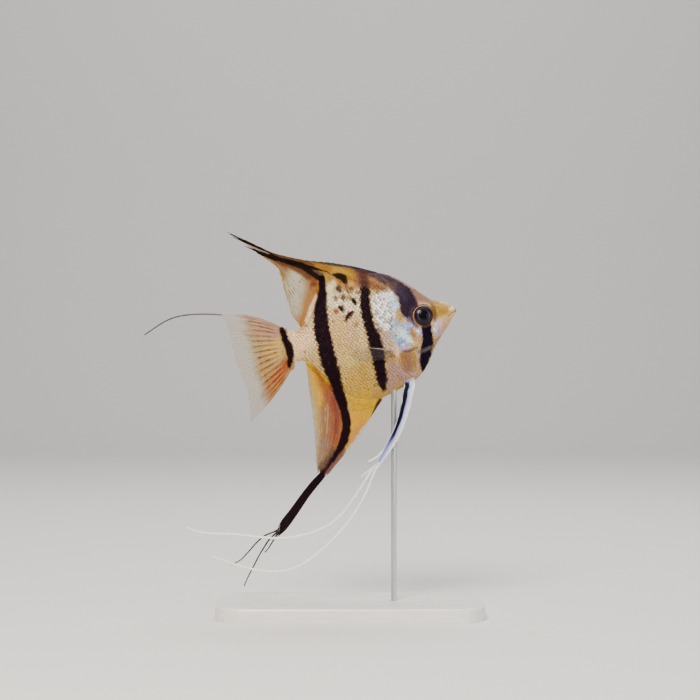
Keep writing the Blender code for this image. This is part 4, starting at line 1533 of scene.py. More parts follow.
@dataclass
class MedianFins:
    """The unpaired fins: the dorsal with its swept spike, the anal, and the tail's fan."""

    buried: float = 1.6
    dorsal_rays: RayKeys = (
        (29.6, 0, (30.6, 23.6)), (36.8, 0, (40.0, 28.3)), (43.6, -0.02, (49.8, 32.2)),
        (49.2, 0.05, (61.0, 35.8)), (54.1, 0.07, (75.0, 42.6)), (57.3, 0.06, (93.1, 56.1)),
        (60.7, 0.09, (84.5, 46.4)), (63.6, 0.05, (73.6, 36.8)), (65.9, 0, (72.2, 25.0)),
        (67.9, 0, (71.3, 13.5)))
    anal_rays: RayKeys = (
        (39.2, 0, (41.2, -32.6)), (41.5, 0, (44.2, -35.4)), (46.6, 0.02, (53.8, -45.2)),
        (51.6, -0.03, (61.0, -51.2)), (55.5, -0.08, (67.4, -56.3)), (59.0, -0.10, (71.8, -59.6)),
        (62.5, -0.08, (75.2, -57.6)),
        (65.2, -0.04, (74.6, -52.0)), (67.6, -0.01, (72.4, -38.2)), (69.3, 0, (70.6, -19.0)))
    tail_rays: RayKeys = (
        (7.4, 0.08, (102.6, 20.4)), (5.6, 0.05, (100.4, 16)), (2.6, 0.02, (99.9, 8)),
        (-0.6, 0.01, (100, -1.4)), (-3.8, 0.01, (98.2, -12.1)), (-6.6, -0.03, (98, -21.3)),
        (-8.4, -0.04, (99, -29.2)))

    def dorsal(self) -> Fin:
        """Lays out the dorsal fin: a low spiny front, a swept black spike and a clear hind web.

        Returns:
            The fin.
        """
        marks = Markings(
            ground=((8, "#a8701c"), (22, "#946622"), (32, "#8a602a")), clear=0.35, shine=0.15, wobble=0.25,
            marks=(
                Mark(((64, 32, 3), (68, 25, 5.4), (71, 16, 4.4)), "#b4a048", 0.94, 2.4, clear=0.88),
                GOLD_OF_BACK,
                Mark(((49.5, 26.4, 1.6), (52.6, 25.4, 1.8)), "#b08c44", 0.75, 1.2, clear=0.05),
                Mark(((30, 20.5, 2), (36, 23.4, 2.2)), "#8e6044", 0.9, 1.6, clear=0.0),
                HIGHLIGHT_OF_BACK, PALE_OF_BACK, SHADE_OF_FLANK, BAR_OF_EYE_HIGH, MAUVE_OF_NAPE,
                EDGE_OF_NAPE, FOOT_OF_NAPE, HEAD_OF_BAR,
                Mark(((62.8, 34.4, 0.8), (56, 31.8, 1), (50, 29.2, 0.9)), "#a0680c", 0.9, 0.7,
                     clear=0.1),
                Mark(((59.6, 19.6, 0.9), (62, 14.5, 1.3), (65, 9.6, 1.2)), "#ecd2a8", 0.9, 0.7,
                     clear=0.0),
                Mark(((60.2, 28.2, 1.6), (62.4, 31.2, 1.9), (65.6, 33.6, 1.5), (69.6, 35.6, 1),
                      (73.2, 38, 0.7)), "#5a3420", 0.94, 0.8, clear=0.06),
                Mark(((58.2, 27.2, 1), (58.9, 24.6, 1.4), (59.6, 22, 1.1)), "#74382a", 0.92, 0.8,
                     clear=0.08),
                Mark(((59.2, 22.6, 1), (60.9, 19.1, 1.1), (63.8, 15.2, 0.95), (65.8, 12, 0.85),
                      (67.8, 8, 0.6)), "#a0703a", 0.95, 0.5, clear=0.05),
                BAR_OF_FINS, SPOT_OF_BACK,
                Mark(((57, 32.6, 0.5), (61, 35.2, 0.9), (64.3, 36.6, 1), (70.2, 39.2, 0.9),
                      (75.6, 42.5, 0.5)), "#4e3212", 0.9, 0.5, clear=0.0),
                Mark(((54.4, 27.9, 0.7), (56.6, 29.3, 0.8), (58.8, 30.8, 0.6)), "#4a3836", 0.94, 0.5,
                     clear=0.0),
                Mark(((50.2, 26.8, 0.15), (52.4, 28.6, 0.25), (55, 29.9, 0.4), (57.2, 31.1, 0.7),
                      (59.6, 32.3, 0.9), (61.9, 34, 0.85), (64.4, 35.1, 0.85), (66.9, 36.1, 1),
                      (69.4, 37.2, 1), (72.4, 38.9, 1.2), (75.4, 40.9, 1.4), (78.4, 43.2, 1.7),
                      (83, 46.8, 2.2), (90, 52.6, 2.2), (95, 57.5, 2)),
                     BLACK, 0.99, 0.35, shine=0.06, clear=0.0),
                Mark(((54.8, 25.6, 1.4), (56, 26.6, 1.3), (58.1, 28.7, 1.2), (60.6, 31.4, 1.3),
                      (64, 34.2, 1.2), (68, 36.2, 1)), BLACK, 0.97, 0.45, shine=0.06, clear=0.0),
                Mark(((75.4, 41.9, 0.1), (80.7, 45.3, 0.25), (85, 48.4, 0.25), (88.6, 51.2, 0.15)),
                     "#b8a49c", 0.8, 0.25),
                Mark(((63.4, 27.6, 0.4),), "#3c2a20", 0.85, 0.3, clear=0.0),
                Mark(((64.6, 26.6, 0.35),), "#3c2a20", 0.8, 0.3, clear=0.0),
                Mark(((72.6, 32.6, 0.4), (73.4, 36, 0.6)), "#4a3026", 0.6, 0.6, clear=0.4),
            ))

        def paint(coat: Coat, u: Array, v: Array, ridge: Array, tone: Array) -> None:
            """Lines the hind web with speckled rays and darkens the crest's rim.

            Args:
                coat: The fin's colours so far.
                u: 0 at the leading edge to 1 at the hind one.
                v: 0 at the root to 1 at the edge.
                ridge: 1 on a ray to 0 between rays.
                tone: Each ray's own random value, -1 to 1.
            """
            hind = smoothstep(0.62, 0.7, u) * smoothstep(0.18, 0.3, v)
            dots = smoothstep(-0.1, 0.3, noise(v * 26, u * 36, 4)) * hind * ridge
            coat.tint("#5c3414", 0.85 * dots)
            coat.veil(0.35, dots)
            pale = hind * ridge * (1 - dots) * 0.6
            coat.tint("#c8b050", pale)
            front = (1 - smoothstep(0.42, 0.5, u)) * ridge * smoothstep(0.3, 0.6, v)
            coat.tint("#5a3418", 0.35 * front)
            start = 0.72 + 0.12 * smoothstep(0.1, 0.3, u)
            rim = smoothstep(start, start + 0.07, v) * (1 - smoothstep(0.24, 0.34, u))
            coat.tint("#24160f", 0.94 * rim)
            rim = smoothstep(0.9, 0.95, v) * smoothstep(0.24, 0.34, u) * (1 - smoothstep(0.5, 0.54, u))
            coat.tint("#3c2410", 0.85 * rim)
            coat.veil(0.0, rim)

        rays = Rays(36, 12, fray=((0, 0.012), (0.35, 0.02), (0.5, 0.05), (0.62, 0.1), (0.75, 0.05),
                                  (1, 0.03)),
                    ragged=((0, 0), (0.42, 0.0), (0.5, 0.06), (0.66, 0.14), (0.8, 0.04), (1, 0.02)), seed=5)
        fan = Fan(self.dorsal_rays, on_line(FORM.top, -self.buried), 1.0)
        return Fin("fin_dorsal", "fin", fan.point, rays, marks, 396, 84, paint=paint)

    def anal(self) -> Fin:
        """Lays out the anal fin: gold ahead of the black bar, rosy orange behind it.

        Returns:
            The fin.
        """
        marks = Markings(
            ground=((-58, "#8c6a50"), (-44, "#c49a1e"), (-30, "#cea414")), clear=0.1, shine=0.2,
            wobble=0.3,
            marks=(
                Mark(((60, -22, 3), (63, -32, 5.4), (66.4, -44, 5.6)), "#8e5420", 0.95, 2.0, clear=0.34),
                Mark(((73, -14, 3), (73.8, -30, 4.4), (75.4, -44, 4.2), (76.6, -54, 2.8)), "#9c9258",
                     0.92, 3.0, clear=0.94),
                Mark(((66.6, -10, 0.7), (64.4, -19, 1.8), (61.8, -28, 2.4), (61.8, -37, 2.2),
                      (64.6, -45, 1.3)), "#8a3814", 0.92, 2.4, clear=0.2),
                Mark(((61.2, -26, 0.8), (61, -34, 0.9), (63, -41, 0.8)), "#6e2a16", 0.75, 0.9),
                GOLD_OF_BELLY,
                Mark(((52.6, -33, 1.6), (54.2, -38, 1.4)), "#dea41c", 0.85, 1.6),
                Mark(((54.8, -22, 0.5), (55.2, -32, 0.5), (56, -40.6, 0.4)), "#c8ac70", 0.6, 0.5),
                Mark(((50.6, -39.4, 0.8), (57.8, -45.8, 1.2)), "#c08450", 0.75, 0.9),
                Mark(((41.4, -31.6, 0.7), (43.2, -33.6, 0.75), (45.2, -36.4, 0.65), (46.4, -38.1, 0.4)),
                     "#2a1220", 0.96, 0.35, shine=0.08, clear=0.0),
                Mark(((47.2, -38.3, 0.35), (50, -41, 0.4), (55, -45.8, 0.45), (60.6, -50.4, 0.5)),
                     "#cbb6b4", 0.85, 0.35, clear=0.05),
                BAR_OF_FINS,
                Mark(((61.4, -49.6, 0.6), (65.6, -53.6, 0.9), (70.4, -57.8, 0.9)), "#5e4148", 0.94, 0.5,
                     clear=0.0),
                Mark(((60.6, -50.9, 0.35), (65.2, -54.9, 0.3), (68.4, -57.4, 0.15)), "#b49ea6", 0.85,
                     0.35, clear=0.1),
                Mark(((68.6, -44, 1.9), (70.2, -49, 2.2), (72.6, -53.6, 1.8)), "#7a5434", 0.85, 1.6,
                     clear=0.5),
                Mark(((66, -48.4, 0.9), (69.2, -51.8, 1.2), (74.6, -56, 1.4)), "#4a3028", 0.85, 1.0,
                     clear=0.25),
            ))

        def paint(coat: Coat, u: Array, v: Array, ridge: Array, tone: Array) -> None:
            """Lines the hind web with fine slanting rays and pale windows.

            Args:
                coat: The fin's colours so far.
                u: 0 at the leading edge to 1 at the hind one.
                v: 0 at the root to 1 at the edge.
                ridge: 1 on a ray to 0 between rays.
                tone: Each ray's own random value, -1 to 1.
            """
            hind = smoothstep(0.6, 0.72, u) * smoothstep(0.1, 0.3, v)
            windows = smoothstep(0.2, 0.6, noise(v * 19, u * 32, 6)) * hind * (1 - ridge)
            coat.tint("#c4b070", 0.4 * windows)
            coat.veil(0.7, windows * 0.25)
            coat.tint("#b88a58", 0.2 * hind * ridge)
            front = (1 - smoothstep(0.5, 0.6, u)) * (1 - ridge) * smoothstep(0.15, 0.4, v)
            coat.tint("#a87208", 0.3 * front)

        rays = Rays(32, 6, fray=((0, 0.01), (0.4, 0.02), (0.6, 0.035), (0.8, 0.05), (1, 0.04)),
                    ragged=((0, 0), (0.45, 0.0), (0.7, 0.03), (0.85, 0.06), (1, 0.03)), seed=8)
        fan = Fan(self.anal_rays, on_line(FORM.bottom, self.buried), 3.2)
        return Fin("fin_anal", "fin", fan.point, rays, marks, 352, 84, paint=paint)

    def tail(self) -> Fin:
        """Lays out the tail fin: branching rays streaked with rust between clear webs.

        Returns:
            The fin.
        """
        marks = Markings(
            ground=((-26, "#9c5e1c"), (-12, "#a87c34"), (0, "#b0965a"), (16, "#a4846a")), clear=0.42,
            shine=0.1, wobble=0.3,
            marks=(
                Mark(((78, 6, 2.4), (86, 11, 2.4)), "#a87c74", 0.75, 2.0, clear=0.15),
                Mark(((77, 2, 3.6), (82, 0, 4.2)), "#c4a45c", 0.85, 2.2, clear=0.08),
                Mark(((78, -7, 2), (84, -13, 2.6)), "#98401c", 0.88, 1.8, clear=0.1),
                Mark(((88, -17, 3), (95, -23, 3.2)), "#9a5210", 0.85, 3.0, clear=0.35),
                Mark(((82, 12.6, 0.5), (92, 16.2, 0.6), (101, 20, 0.5)), "#c0a098", 0.7, 0.5, clear=0.3),
                BAR_OF_TAIL,
            ))

        def paint(coat: Coat, u: Array, v: Array, ridge: Array, tone: Array) -> None:
            """Streaks and dots the webs with rust, and clears the margin.

            Args:
                coat: The fin's colours so far.
                u: 0 at the leading edge to 1 at the hind one.
                v: 0 at the root to 1 at the edge.
                ridge: 1 on a ray to 0 between rays.
                tone: Each ray's own random value, -1 to 1.
            """
            phase = u * 17
            part = phase - np.floor(phase)
            web = np.exp(-((np.minimum(part, 1 - part)) / 0.24) ** 2)
            span = smoothstep(0.2, 0.36, v + 0.05 * tone) * (1 - smoothstep(0.62, 0.76, v + 0.07 * tone))
            dots = 0.55 + 0.45 * smoothstep(-0.2, 0.5, noise(v * 21, phase * 0.9, 12))
            rust = web * span * dots * (0.85 + 0.3 * tone)
            coat.tint("#64240e", np.clip(0.95 * rust, 0, 1))
            coat.veil(0.05, np.clip(rust, 0, 1))
            pale = ridge * smoothstep(0.15, 0.3, v) * (1 - np.clip(rust, 0, 1))
            coat.tint("#ccb470", 0.4 * pale)
            margin = smoothstep(0.56, 0.8, v + 0.04 * tone)
            coat.tint("#a8a488", 0.6 * margin)
            coat.veil(0.88, margin)

        rays = Rays(17, 2, branch=0.28, spread=0.24, narrow=0.12,
                    fray=((0, 0.005), (0.1, 0.02), (0.9, 0.03), (1, 0.01)),
                    ragged=((0, 0), (0.15, 0.012), (0.85, 0.02), (1, 0)), seed=3)
        end = FORM.length - self.buried
        fan = Fan(self.tail_rays, lambda base: np.stack([np.full_like(base, end), base], -1), 1.6)
        return Fin("fin_tail", "fin", fan.point, rays, marks, 374, 84, paint=paint)

    def build(self, web: bpy.types.Material, plates: bpy.types.Material) -> None:
        """Models the three fins and the scales on their bases.

        Args:
            web: The fins' finish.
            plates: The scales' finish.
        """
        for fin, reach in ((self.dorsal(), ((0, 1.5), (0.2, 3.6), (0.5, 7.5), (0.62, 3.6), (1, 2.0))),
                           (self.anal(), ((0, 2.2), (0.3, 6.0), (0.5, 7.5), (0.66, 3.4), (1, 2.0))),
                           (self.tail(), ((0, 2.6), (0.5, 3.4), (1, 2.6)))):
            fin.build(web)
            for side in Side:
                FinScales(fin, reach).build(side, plates)


@dataclass
class PectoralFins:
    """The breast fins, half folded and clear as glass but for a pale leading ray."""

    rays: RayKeys = (
        (0.0, 0.04, (16.6, 5.4)), (0.7, 0.03, (19.2, 3.4)), (1.5, 0.02, (19.4, 0.9)),
        (1.9, 0.0, (17.2, -0.6)), (2.3, -0.01, (13.4, -1.6)))
    at: Tuple[float, float] = (29.9, -12.2)
    flare_deg: float = 15.5
    root: float = 2.0
    rise: float = 1.3

    def build(self, side: Side, finish: bpy.types.Material) -> bpy.types.Object:
        """Models one breast fin.

        Args:
            side: Which side.
            finish: The clear fin's finish.

        Returns:
            The piece.
        """
        fan = Fan(self.rays, lambda down: np.stack([np.zeros_like(down), -down], -1))
        start = float(along(FORM.half_width, self.at[0])) - self.root

        def surface(u: Array, v: Array) -> Array:
            """Stands the fan off the flank.

            Args:
                u: 0 at the leading edge to 1 at the hind one.
                v: 0 at the root to 1 at the edge.

            Returns:
                Millimetres in the fish's frame.
            """
            p = fan.point(u, v)
            out = start + p[..., 0] * math.tan(math.radians(self.flare_deg))
            out = out + self.rise * (1 - np.exp(-p[..., 0] / 1.6))
            return np.stack([self.at[0] + p[..., 0], side.value * out, self.at[1] + p[..., 2]], -1)

        def paint(coat: Coat, u: Array, v: Array, ridge: Array, tone: Array) -> None:
            """Whitens the leading ray and lays a faint grey veil over the web.

            Args:
                coat: The fin's colours so far.
                u: 0 at the leading edge to 1 at the hind one.
                v: 0 at the root to 1 at the edge.
                ridge: 1 on a ray to 0 between rays.
                tone: Each ray's own random value, -1 to 1.
            """
            lead = 1 - smoothstep(0.03, 0.09, u)
            coat.tint("#a8a594", lead)
            coat.veil(0.97, smoothstep(0.35, 0.8, v))
            coat.veil(0.4, lead * (1 - smoothstep(0.25, 0.7, v)))

        marks = Markings(ground=((-20, "#4a4348"), (0, "#524a50")), clear=0.84, shine=0.0)
        rays = Rays(12, 1, branch=0.5, fray=((0, 0.01), (1, 0.04)), seed=4)
        return Fin(f"fin_pectoral_{side.word}", "clear_fin", surface, rays, marks, 96, 36, 0.6, 0.16, 0.2,
                   paint).build(finish)


# ---------------------------------------------------------------- streamers and filaments


@dataclass(frozen=True)
class Ribbon:
    """A flat streamer along a route of (s, y, z), whose width lies in the fish's plane."""

    route: Route
    halves: Tuple[float, ...]
    tip_share: float = 1.0

    def point(self, w: Array, u: Array) -> Array:
        """Places points on the ribbon.

        Args:
            w: 0 at the leading edge to 1 at the hind edge.
            u: 0 at the root to 1 at the tip.

        Returns:
            (s, y, z) on the last axis.
        """
        here = smooth_through(self.route, u)
        run = smooth_through(self.route, np.minimum(u + 0.02, 1)) - smooth_through(
            self.route, np.maximum(u - 0.02, 0))
        across = np.stack([-run[..., 2], np.zeros_like(u), run[..., 0]], -1)
        across /= np.linalg.norm(across, axis=-1, keepdims=True)
        half = smooth_through([(h,) for h in self.halves], u)
        half = half * (1 - (1 - self.tip_share) * smoothstep(0.72, 1, u))[..., None]
        return here + across * half * (2 * w - 1)[..., None]


@dataclass(frozen=True)
class Thread:
    """A tapering filament along a route of (s, y, z)."""

    route: Route
    radii: Tuple[float, float]
    colours: Tuple[str, ...]
    segments: int = 10

    def build(self, name: str, slot: str, finish: bpy.types.Material, *nodes: str) -> bpy.types.Object:
        """Models the filament as one closed tube.

        Args:
            name: The piece's name.
            slot: Its colour slot.
            finish: Its finish.
            *nodes: The solids it replaces.

        Returns:
            The piece.
        """
        span = np.linalg.norm(np.diff(smooth_through(self.route, np.linspace(0, 1, 200)), axis=0), axis=1)
        length = span.sum()
        count = int(min(max(length / 0.55, 14), 190))
        piece, ring, seg = shaped_ball(name, self.segments, count)
        arc = np.concatenate([[0], np.cumsum(span)]) / length
        ends = np.sin(np.linspace(0, math.pi / 2, 4)) ** 2 * self.radii[0] / length
        share = np.concatenate([ends, np.linspace(ends[-1], 1 - ends[-1], count - 5)[1:-1], 1 - ends[::-1]])
        u = np.interp(share, arc, np.linspace(0, 1, 200))
        here = smooth_through(self.route, u)
        run = np.gradient(here, axis=0)
        run /= np.linalg.norm(run, axis=1)[:, None]
        side = np.cross(run, (0.0, 1.0, 0.0))
        side /= np.linalg.norm(side, axis=1)[:, None]
        over = np.cross(run, side)
        radius = self.radii[0] + (self.radii[1] - self.radii[0]) * share
        nearest = np.minimum(share, 1 - share) * length
        radius = radius * np.sqrt(np.clip(1 - (1 - np.clip(nearest / radius, 0, 1)) ** 2, 0, 1))
        radius = radius * (1 + 0.05 * noise(share * length / 1.6, share * 0, 3))
        turn = (seg / self.segments * 2 * math.pi)[:, None]
        places = here[ring] + radius[ring][:, None] * (np.cos(turn) * side[ring] + np.sin(turn) * over[ring])
        settle(piece, POSE.to_room(places))
        tones = np.array([linear(c) for c in self.colours])
        at = np.linspace(0, 1, len(tones))
        rgb = np.stack([np.interp(share[ring], at, tones[:, k]) for k in range(3)], -1)
        rgb = rgb * (1 + 0.06 * noise(share[ring] * length / 0.9, seg * 0.5, 7))[:, None]
        keep_colour(piece, "tint", rgb)
        keep_number(piece, "reach", share[ring] * length)
        hand_in(piece, finish, slot, *nodes)
        return piece


@dataclass
class PelvicFins:
    """The two long feelers under the breast: a blade that ends in one white filament each."""

    blade: Route = ((26.2, 0.9, -23.6), (27.2, 1.7, -27.6), (28.9, 2.6, -31.6), (31.4, 3.1, -37.4),
                    (37, 3.4, -46.6), (43.5, 3.2, -54), (49.2, 2.9, -59.8))
    halves: Tuple[float, ...] = (1.9, 2.3, 2.15, 2.0, 1.8, 1.6, 1.35)
    left_thread: Route = (
        (47.6, 2.85, -58.1), (49.7, 2.8, -59.6), (53, 2.7, -62.6), (57.2, 2.6, -66.9),
        (65.2, 2.6, -74.4), (70.6, 2.7, -78.4), (76.1, 2.8, -80.8), (86, 3, -82.4), (96.4, 3.2, -81.8),
        (106.4, 3.4, -79.1), (116.3, 3.5, -75.8), (122.4, 3.5, -74.3), (128.4, 3.4, -72.7),
        (133.3, 3.2, -70.4), (136.4, 3, -68.2))
    right_thread: Route = (
        (47.4, -2.9, -57.6), (49.2, -3, -60.2), (52.2, -3.4, -64.2), (55.8, -3.9, -69.5),
        (61, -4.6, -75.4), (66.5, -5.3, -80.6), (74, -6.1, -86), (80.5, -6.7, -89.8),
        (87.5, -7.2, -93.1), (94.2, -7.5, -94.9), (101, -7.6, -94.7), (109.3, -7.5, -92.2),
        (118.9, -7.2, -87.5), (127.3, -6.8, -82.3))
    short_rays: Tuple[Route, ...] = (
        ((43.6, 2.95, -52.8), (47.6, 2.9, -55.4), (50.2, 2.8, -56.3), (52.4, 2.75, -56.8)),
        ((46.8, 2.85, -57.4), (50.6, 2.7, -59.8), (53.8, 2.5, -61.3), (56.8, 2.3, -62.6)))

    def blade_of(self, side: Side, finish: bpy.types.Material) -> bpy.types.Object:
        """Models one blade: a pale spine ahead, soft rays behind it and a navy hind web.

        Args:
            side: Which flank.
            finish: The blade's finish.

        Returns:
            The piece.
        """
        sign = float(side.value)
        ribbon = Ribbon(tuple((s, y * sign, z) for s, y, z in self.blade), self.halves, 0.62)

        def paint(coat: Coat, u: Array, v: Array, ridge: Array, tone: Array) -> None:
            """Runs white, lavender and navy strips down the blade.

            Args:
                coat: The fin's colours so far.
                u: 0 at the leading edge to 1 at the hind one.
                v: 0 at the root to 1 at the edge.
                ridge: 1 on a ray to 0 between rays.
                tone: Each ray's own random value, -1 to 1.
            """
            edge = u + 0.05 * noise(v * 14, u * 3, 5)
            sky = smoothstep(0.12, 0.2, edge)
            coat.tint("#c3d2f8", 0.75 * sky)
            coat.tint("#8f9ae0", smoothstep(0.36, 0.5, edge))
            wide = 0.5 + 0.14 * smoothstep(0.55, 0.95, v)
            navy = smoothstep(wide, wide + 0.08, edge) * (1 - smoothstep(0.94, 0.98, edge))
            navy = navy * smoothstep(0.08, 0.16, v) * (1 - 0.9 * smoothstep(0.68, 0.86, v))
            coat.tint("#0c0b22", navy)
            coat.tint("#eef0f6", smoothstep(0.93, 0.97, edge))
            warm = 1 - smoothstep(0.06, 0.15, v)
            coat.tint("#a08486", 0.8 * warm)

        marks = Markings(ground=((-60, "#f6faff"), (-28, "#f0f5ff")), clear=0.0, shine=0.1)
        rays = Rays(5, 1, branch=0.5, narrow=0.2, fray=((0, 0.0), (0.5, 0.01), (1, 0.03)), seed=6)
        edge_seed = 7.0 if side is Side.RIGHT else 12.0
        return Fin(f"fin_pelvic_{side.word}", "pelvic_fin", ribbon.point, rays, marks, 60, 96, 1.3, 0.36,
                   0.34, paint, edge_seed).build(finish)

    def build(self, web: bpy.types.Material, pearl: bpy.types.Material) -> None:
        """Models both blades, their filaments and the short ray tips beside them.

        Args:
            web: The blades' finish.
            pearl: The filaments' finish.
        """
        white = ("#dfe6f8", "#f1f3f4", "#f6f5ee", "#efece0")
        for side, route in ((Side.LEFT, self.left_thread), (Side.RIGHT, self.right_thread)):
            self.blade_of(side, web)
            Thread(route, (0.6, 0.44), white).build(
                f"pelvic_filament_{side.word}", "pale_ray", pearl,
                f"pelvic_filament_{side.word}_1", f"pelvic_filament_{side.word}_2")
            for k, short in enumerate(self.short_rays):
                turned = tuple((s, y * side.value, z) for s, y, z in short)
                Thread(turned, (0.42, 0.16), ("#d9dcec", "#eeead0")).build(
                    f"pelvic_ray_{side.word}_{k + 1}", "pale_ray", pearl)


@dataclass
class Streamers:
    """The anal fin's dark streamer with three threads, and the tail's one thread."""

    streamer: Route = ((70.6, 2.9, -56.2), (73.8, 3.3, -58.9), (77.6, 4.1, -61.7), (82.3, 5.0, -65.6),
                       (89.0, 6.0, -71.8), (93.8, 6.6, -76.0), (97.4, 7.0, -79.4), (99.6, 7.1, -81.4))
    halves: Tuple[float, ...] = (1.1, 1.5, 1.7, 1.75, 1.95, 2.1, 1.7, 0.9)
    upper: Route = ((96.6, 6.9, -77.6), (99, 6.9, -78.5), (103.7, 6.9, -79.4), (107.9, 6.8, -81.6),
                    (112.3, 6.6, -84.8), (116.6, 6.4, -87.6), (121.1, 6.2, -88.9))
    middle: Route = ((97.2, 7.2, -79.0), (99, 7.3, -80.6), (101.2, 7.4, -83), (103.4, 7.4, -85.2),
                     (105.5, 7.3, -86.8))
    lower: Route = ((97.0, 7.0, -78.4), (99.2, 7, -79.6), (102.4, 7, -81.7), (105.4, 7, -84.6),
                    (108.4, 7, -87.8), (111.5, 7.1, -91.6), (114.7, 7.3, -95.4), (117.6, 7.6, -99.4))
    tail: Route = ((101.2, 1.6, 19.9), (103.3, 1.7, 20.5), (106.8, 1.9, 21.4), (112, 2.3, 22.5),
                   (118.7, 3, 23.3), (124.4, 3.7, 22.9), (129.6, 4.4, 21.4), (133.4, 4.9, 19.9),
                   (136.8, 5.3, 18.6))

    def build(self, web: bpy.types.Material, dark: bpy.types.Material) -> None:
        """Models the streamer and the threads.

        Args:
            web: The streamer's finish.
            dark: The threads' finish.
        """
        ribbon = Ribbon(self.streamer, self.halves, 0.45)

        def paint(coat: Coat, u: Array, v: Array, ridge: Array, tone: Array) -> None:
            """Leaves the leading half black and the hind half a see-through brown.

            Args:
                coat: The fin's colours so far.
                u: 0 at the leading edge to 1 at the hind one.
                v: 0 at the root to 1 at the edge.
                ridge: 1 on a ray to 0 between rays.
                tone: Each ray's own random value, -1 to 1.
            """
            edge = u + 0.12 * noise(v * 9, u * 2, 3)
            hind = smoothstep(0.42, 0.62, edge)
            thin = np.maximum(hind, 0.5 * smoothstep(0.4, 0.8, v)) * (1 - 0.5 * ridge)
            coat.tint("#54403e", 0.9 * thin)
            coat.veil(0.4, thin)
            line = np.exp(-((edge - 0.5) / 0.06) ** 2) * smoothstep(0.05, 0.15, v) * (1 - v)
            coat.tint("#7a6670", 0.6 * line)
            coat.veil(0.75, smoothstep(0.86, 1.0, v) * (1 - ridge))

        marks = Markings(ground=((-80, "#20141c"), (-60, "#1a0e12")), clear=0.02, shine=0.05)
        rays = Rays(6, 0, branch=0.3, narrow=0.16, fray=((0, 0.1), (1, 0.14)), ragged=((0, 0), (1, 0.16)),
                    seed=9)
        Fin("anal_streamer", "dark_ray", ribbon.point, rays, marks, 60, 110, 0.62, 0.24, 0.3,
            paint).build(web)
        black = ("#1e1519", "#241a22", "#3a2e40")
        for word, route in (("upper", self.upper), ("middle", self.middle), ("lower", self.lower)):
            name = f"anal_filament_{word}"
            Thread(route, (0.42, 0.26), black).build(name, "dark_ray", dark, name)
        Thread(self.tail, (0.36, 0.25), ("#4a3226", "#2a1e1c", "#1c1618")).build(
            "tail_filament", "dark_ray", dark, "tail_filament")


# ---------------------------------------------------------------- eyes


@dataclass
class Eye:
    """An eyeball: a dark iris and bulging pupil in a thin pink-gold ring, under a wet surface."""

    place: EyePlace = EYE
    pupil: float = 2.2
    ring: float = 4.34

    def build(self, side: Side, finish: bpy.types.Material) -> bpy.types.Object:
        """Models one eye.

        Args:
            side: Which side.
            finish: The eye's finish.

        Returns:
            The piece.
        """
        rings, segments = 76, 84
        piece, ring, seg = shaped_ball(f"eye_{side.word}", segments, rings)
        tilt = ring / rings * math.pi
        rho = self.place.radius * np.sin(tilt)
        front = tilt <= math.pi / 2
        dome = np.cos(tilt)
        high = np.where(front, self.place.depth * dome, 1.5 * dome)
        high = high - np.where(front, 0.24 * np.exp(-((rho - self.ring) / 0.16) ** 2), 0)
        high = high + np.where(front, 0.12 * (1 - smoothstep(self.pupil - 0.25, self.pupil + 0.1, rho)), 0)
        turn = seg / segments * 2 * math.pi
        look = np.array([-self.place.faces[0], side.value * self.place.faces[1], self.place.faces[2]])
        look /= np.linalg.norm(look)
        rearward = np.array([1.0, 0, 0]) - look[0] * look
        rearward /= np.linalg.norm(rearward)
        upward = np.cross(look, rearward)
        upward *= np.sign(upward[2])
        at = np.array([self.place.at[0], side.value * self.place.at[1], self.place.at[2]])
        places = (at + rho[:, None] * (np.cos(turn)[:, None] * rearward + np.sin(turn)[:, None] * upward)
                  + high[:, None] * look)
        settle(piece, POSE.to_room(places))
        keep_colour(piece, "tint", self._paint(rho, turn, front))
        ringed = smoothstep(self.ring - 0.1, self.ring + 0.15, rho) * 0.5
        keep_number(piece, "shine", np.where(front, ringed, 0))
        hand_in(piece, finish, "eye", f"eye_{side.word}")
        return piece

    def _paint(self, rho: Array, turn: Array, front: Array) -> Array:
        """Colours the iris, with painted reflections beside the pupil.

        Args:
            rho: Millimetres from the pupil's middle.
            turn: Angle round it, 0 rearwards and a quarter turn upwards.
            front: Where the eye shows.

        Returns:
            Linear colours.
        """
        def lay(code: str, cover: Array) -> None:
            """Lays a colour over the iris."""
            nonlocal rgb
            rgb = rgb + (np.array(linear(code)) - rgb) * np.clip(cover, 0, 1)[:, None]

        wave = noise(np.cos(turn) * 3 + rho, np.sin(turn) * 3, 2)
        rgb = np.tile(np.array(linear("#1d1224")), (len(rho), 1))
        lay("#120818", smoothstep(2.6, 3.8, rho) * 0.8 * (0.7 + 0.3 * wave))
        # Grey-violet crescents either side of the pupil: painted reflections of light on the wet eye.
        sideways = np.abs(np.cos(turn)) ** 5
        lay("#5c5870", np.exp(-((rho - self.pupil - 0.3) / 0.16) ** 2) * sideways * 0.8)
        above = np.clip(np.sin(turn), 0, 1) ** 2
        lay("#4e3c4c", np.exp(-((rho - 3.35) / 0.3) ** 2) * above * 0.7)
        lay("#5a3f20", np.exp(-((rho - 3.6) / 0.3) ** 2) * np.clip(-np.cos(turn - 0.5), 0, 1) ** 3 * 0.7)
        lay("#030306", 1 - smoothstep(self.pupil - 0.12, self.pupil + 0.12, rho))
        rear_up = np.clip(np.cos(turn - 0.8), -1, 1)
        edge = self.ring - 0.12 * rear_up
        lay("#a4785c", smoothstep(edge - 0.1, edge + 0.1, rho) * (0.8 + 0.15 * wave))
        lay("#d8b49a", smoothstep(edge - 0.05, edge + 0.2, rho) * np.clip(rear_up, 0, 1) * 0.7)
        lay("#b08a3c", smoothstep(edge - 0.4, edge, rho) * np.clip(np.cos(turn + 0.15), 0, 1) ** 3 * 0.6)
        lay("#4a3424", smoothstep(4.52, 4.7, rho) * 0.7)
        lay("#2a1c1c", np.where(front, 0.0, 1.0))
        return rgb


# ---------------------------------------------------------------- finishes


# A mix node set so that it multiplies one colour by another.
STAIN = {"data_type": "RGBA", "blend_type": "MULTIPLY"}


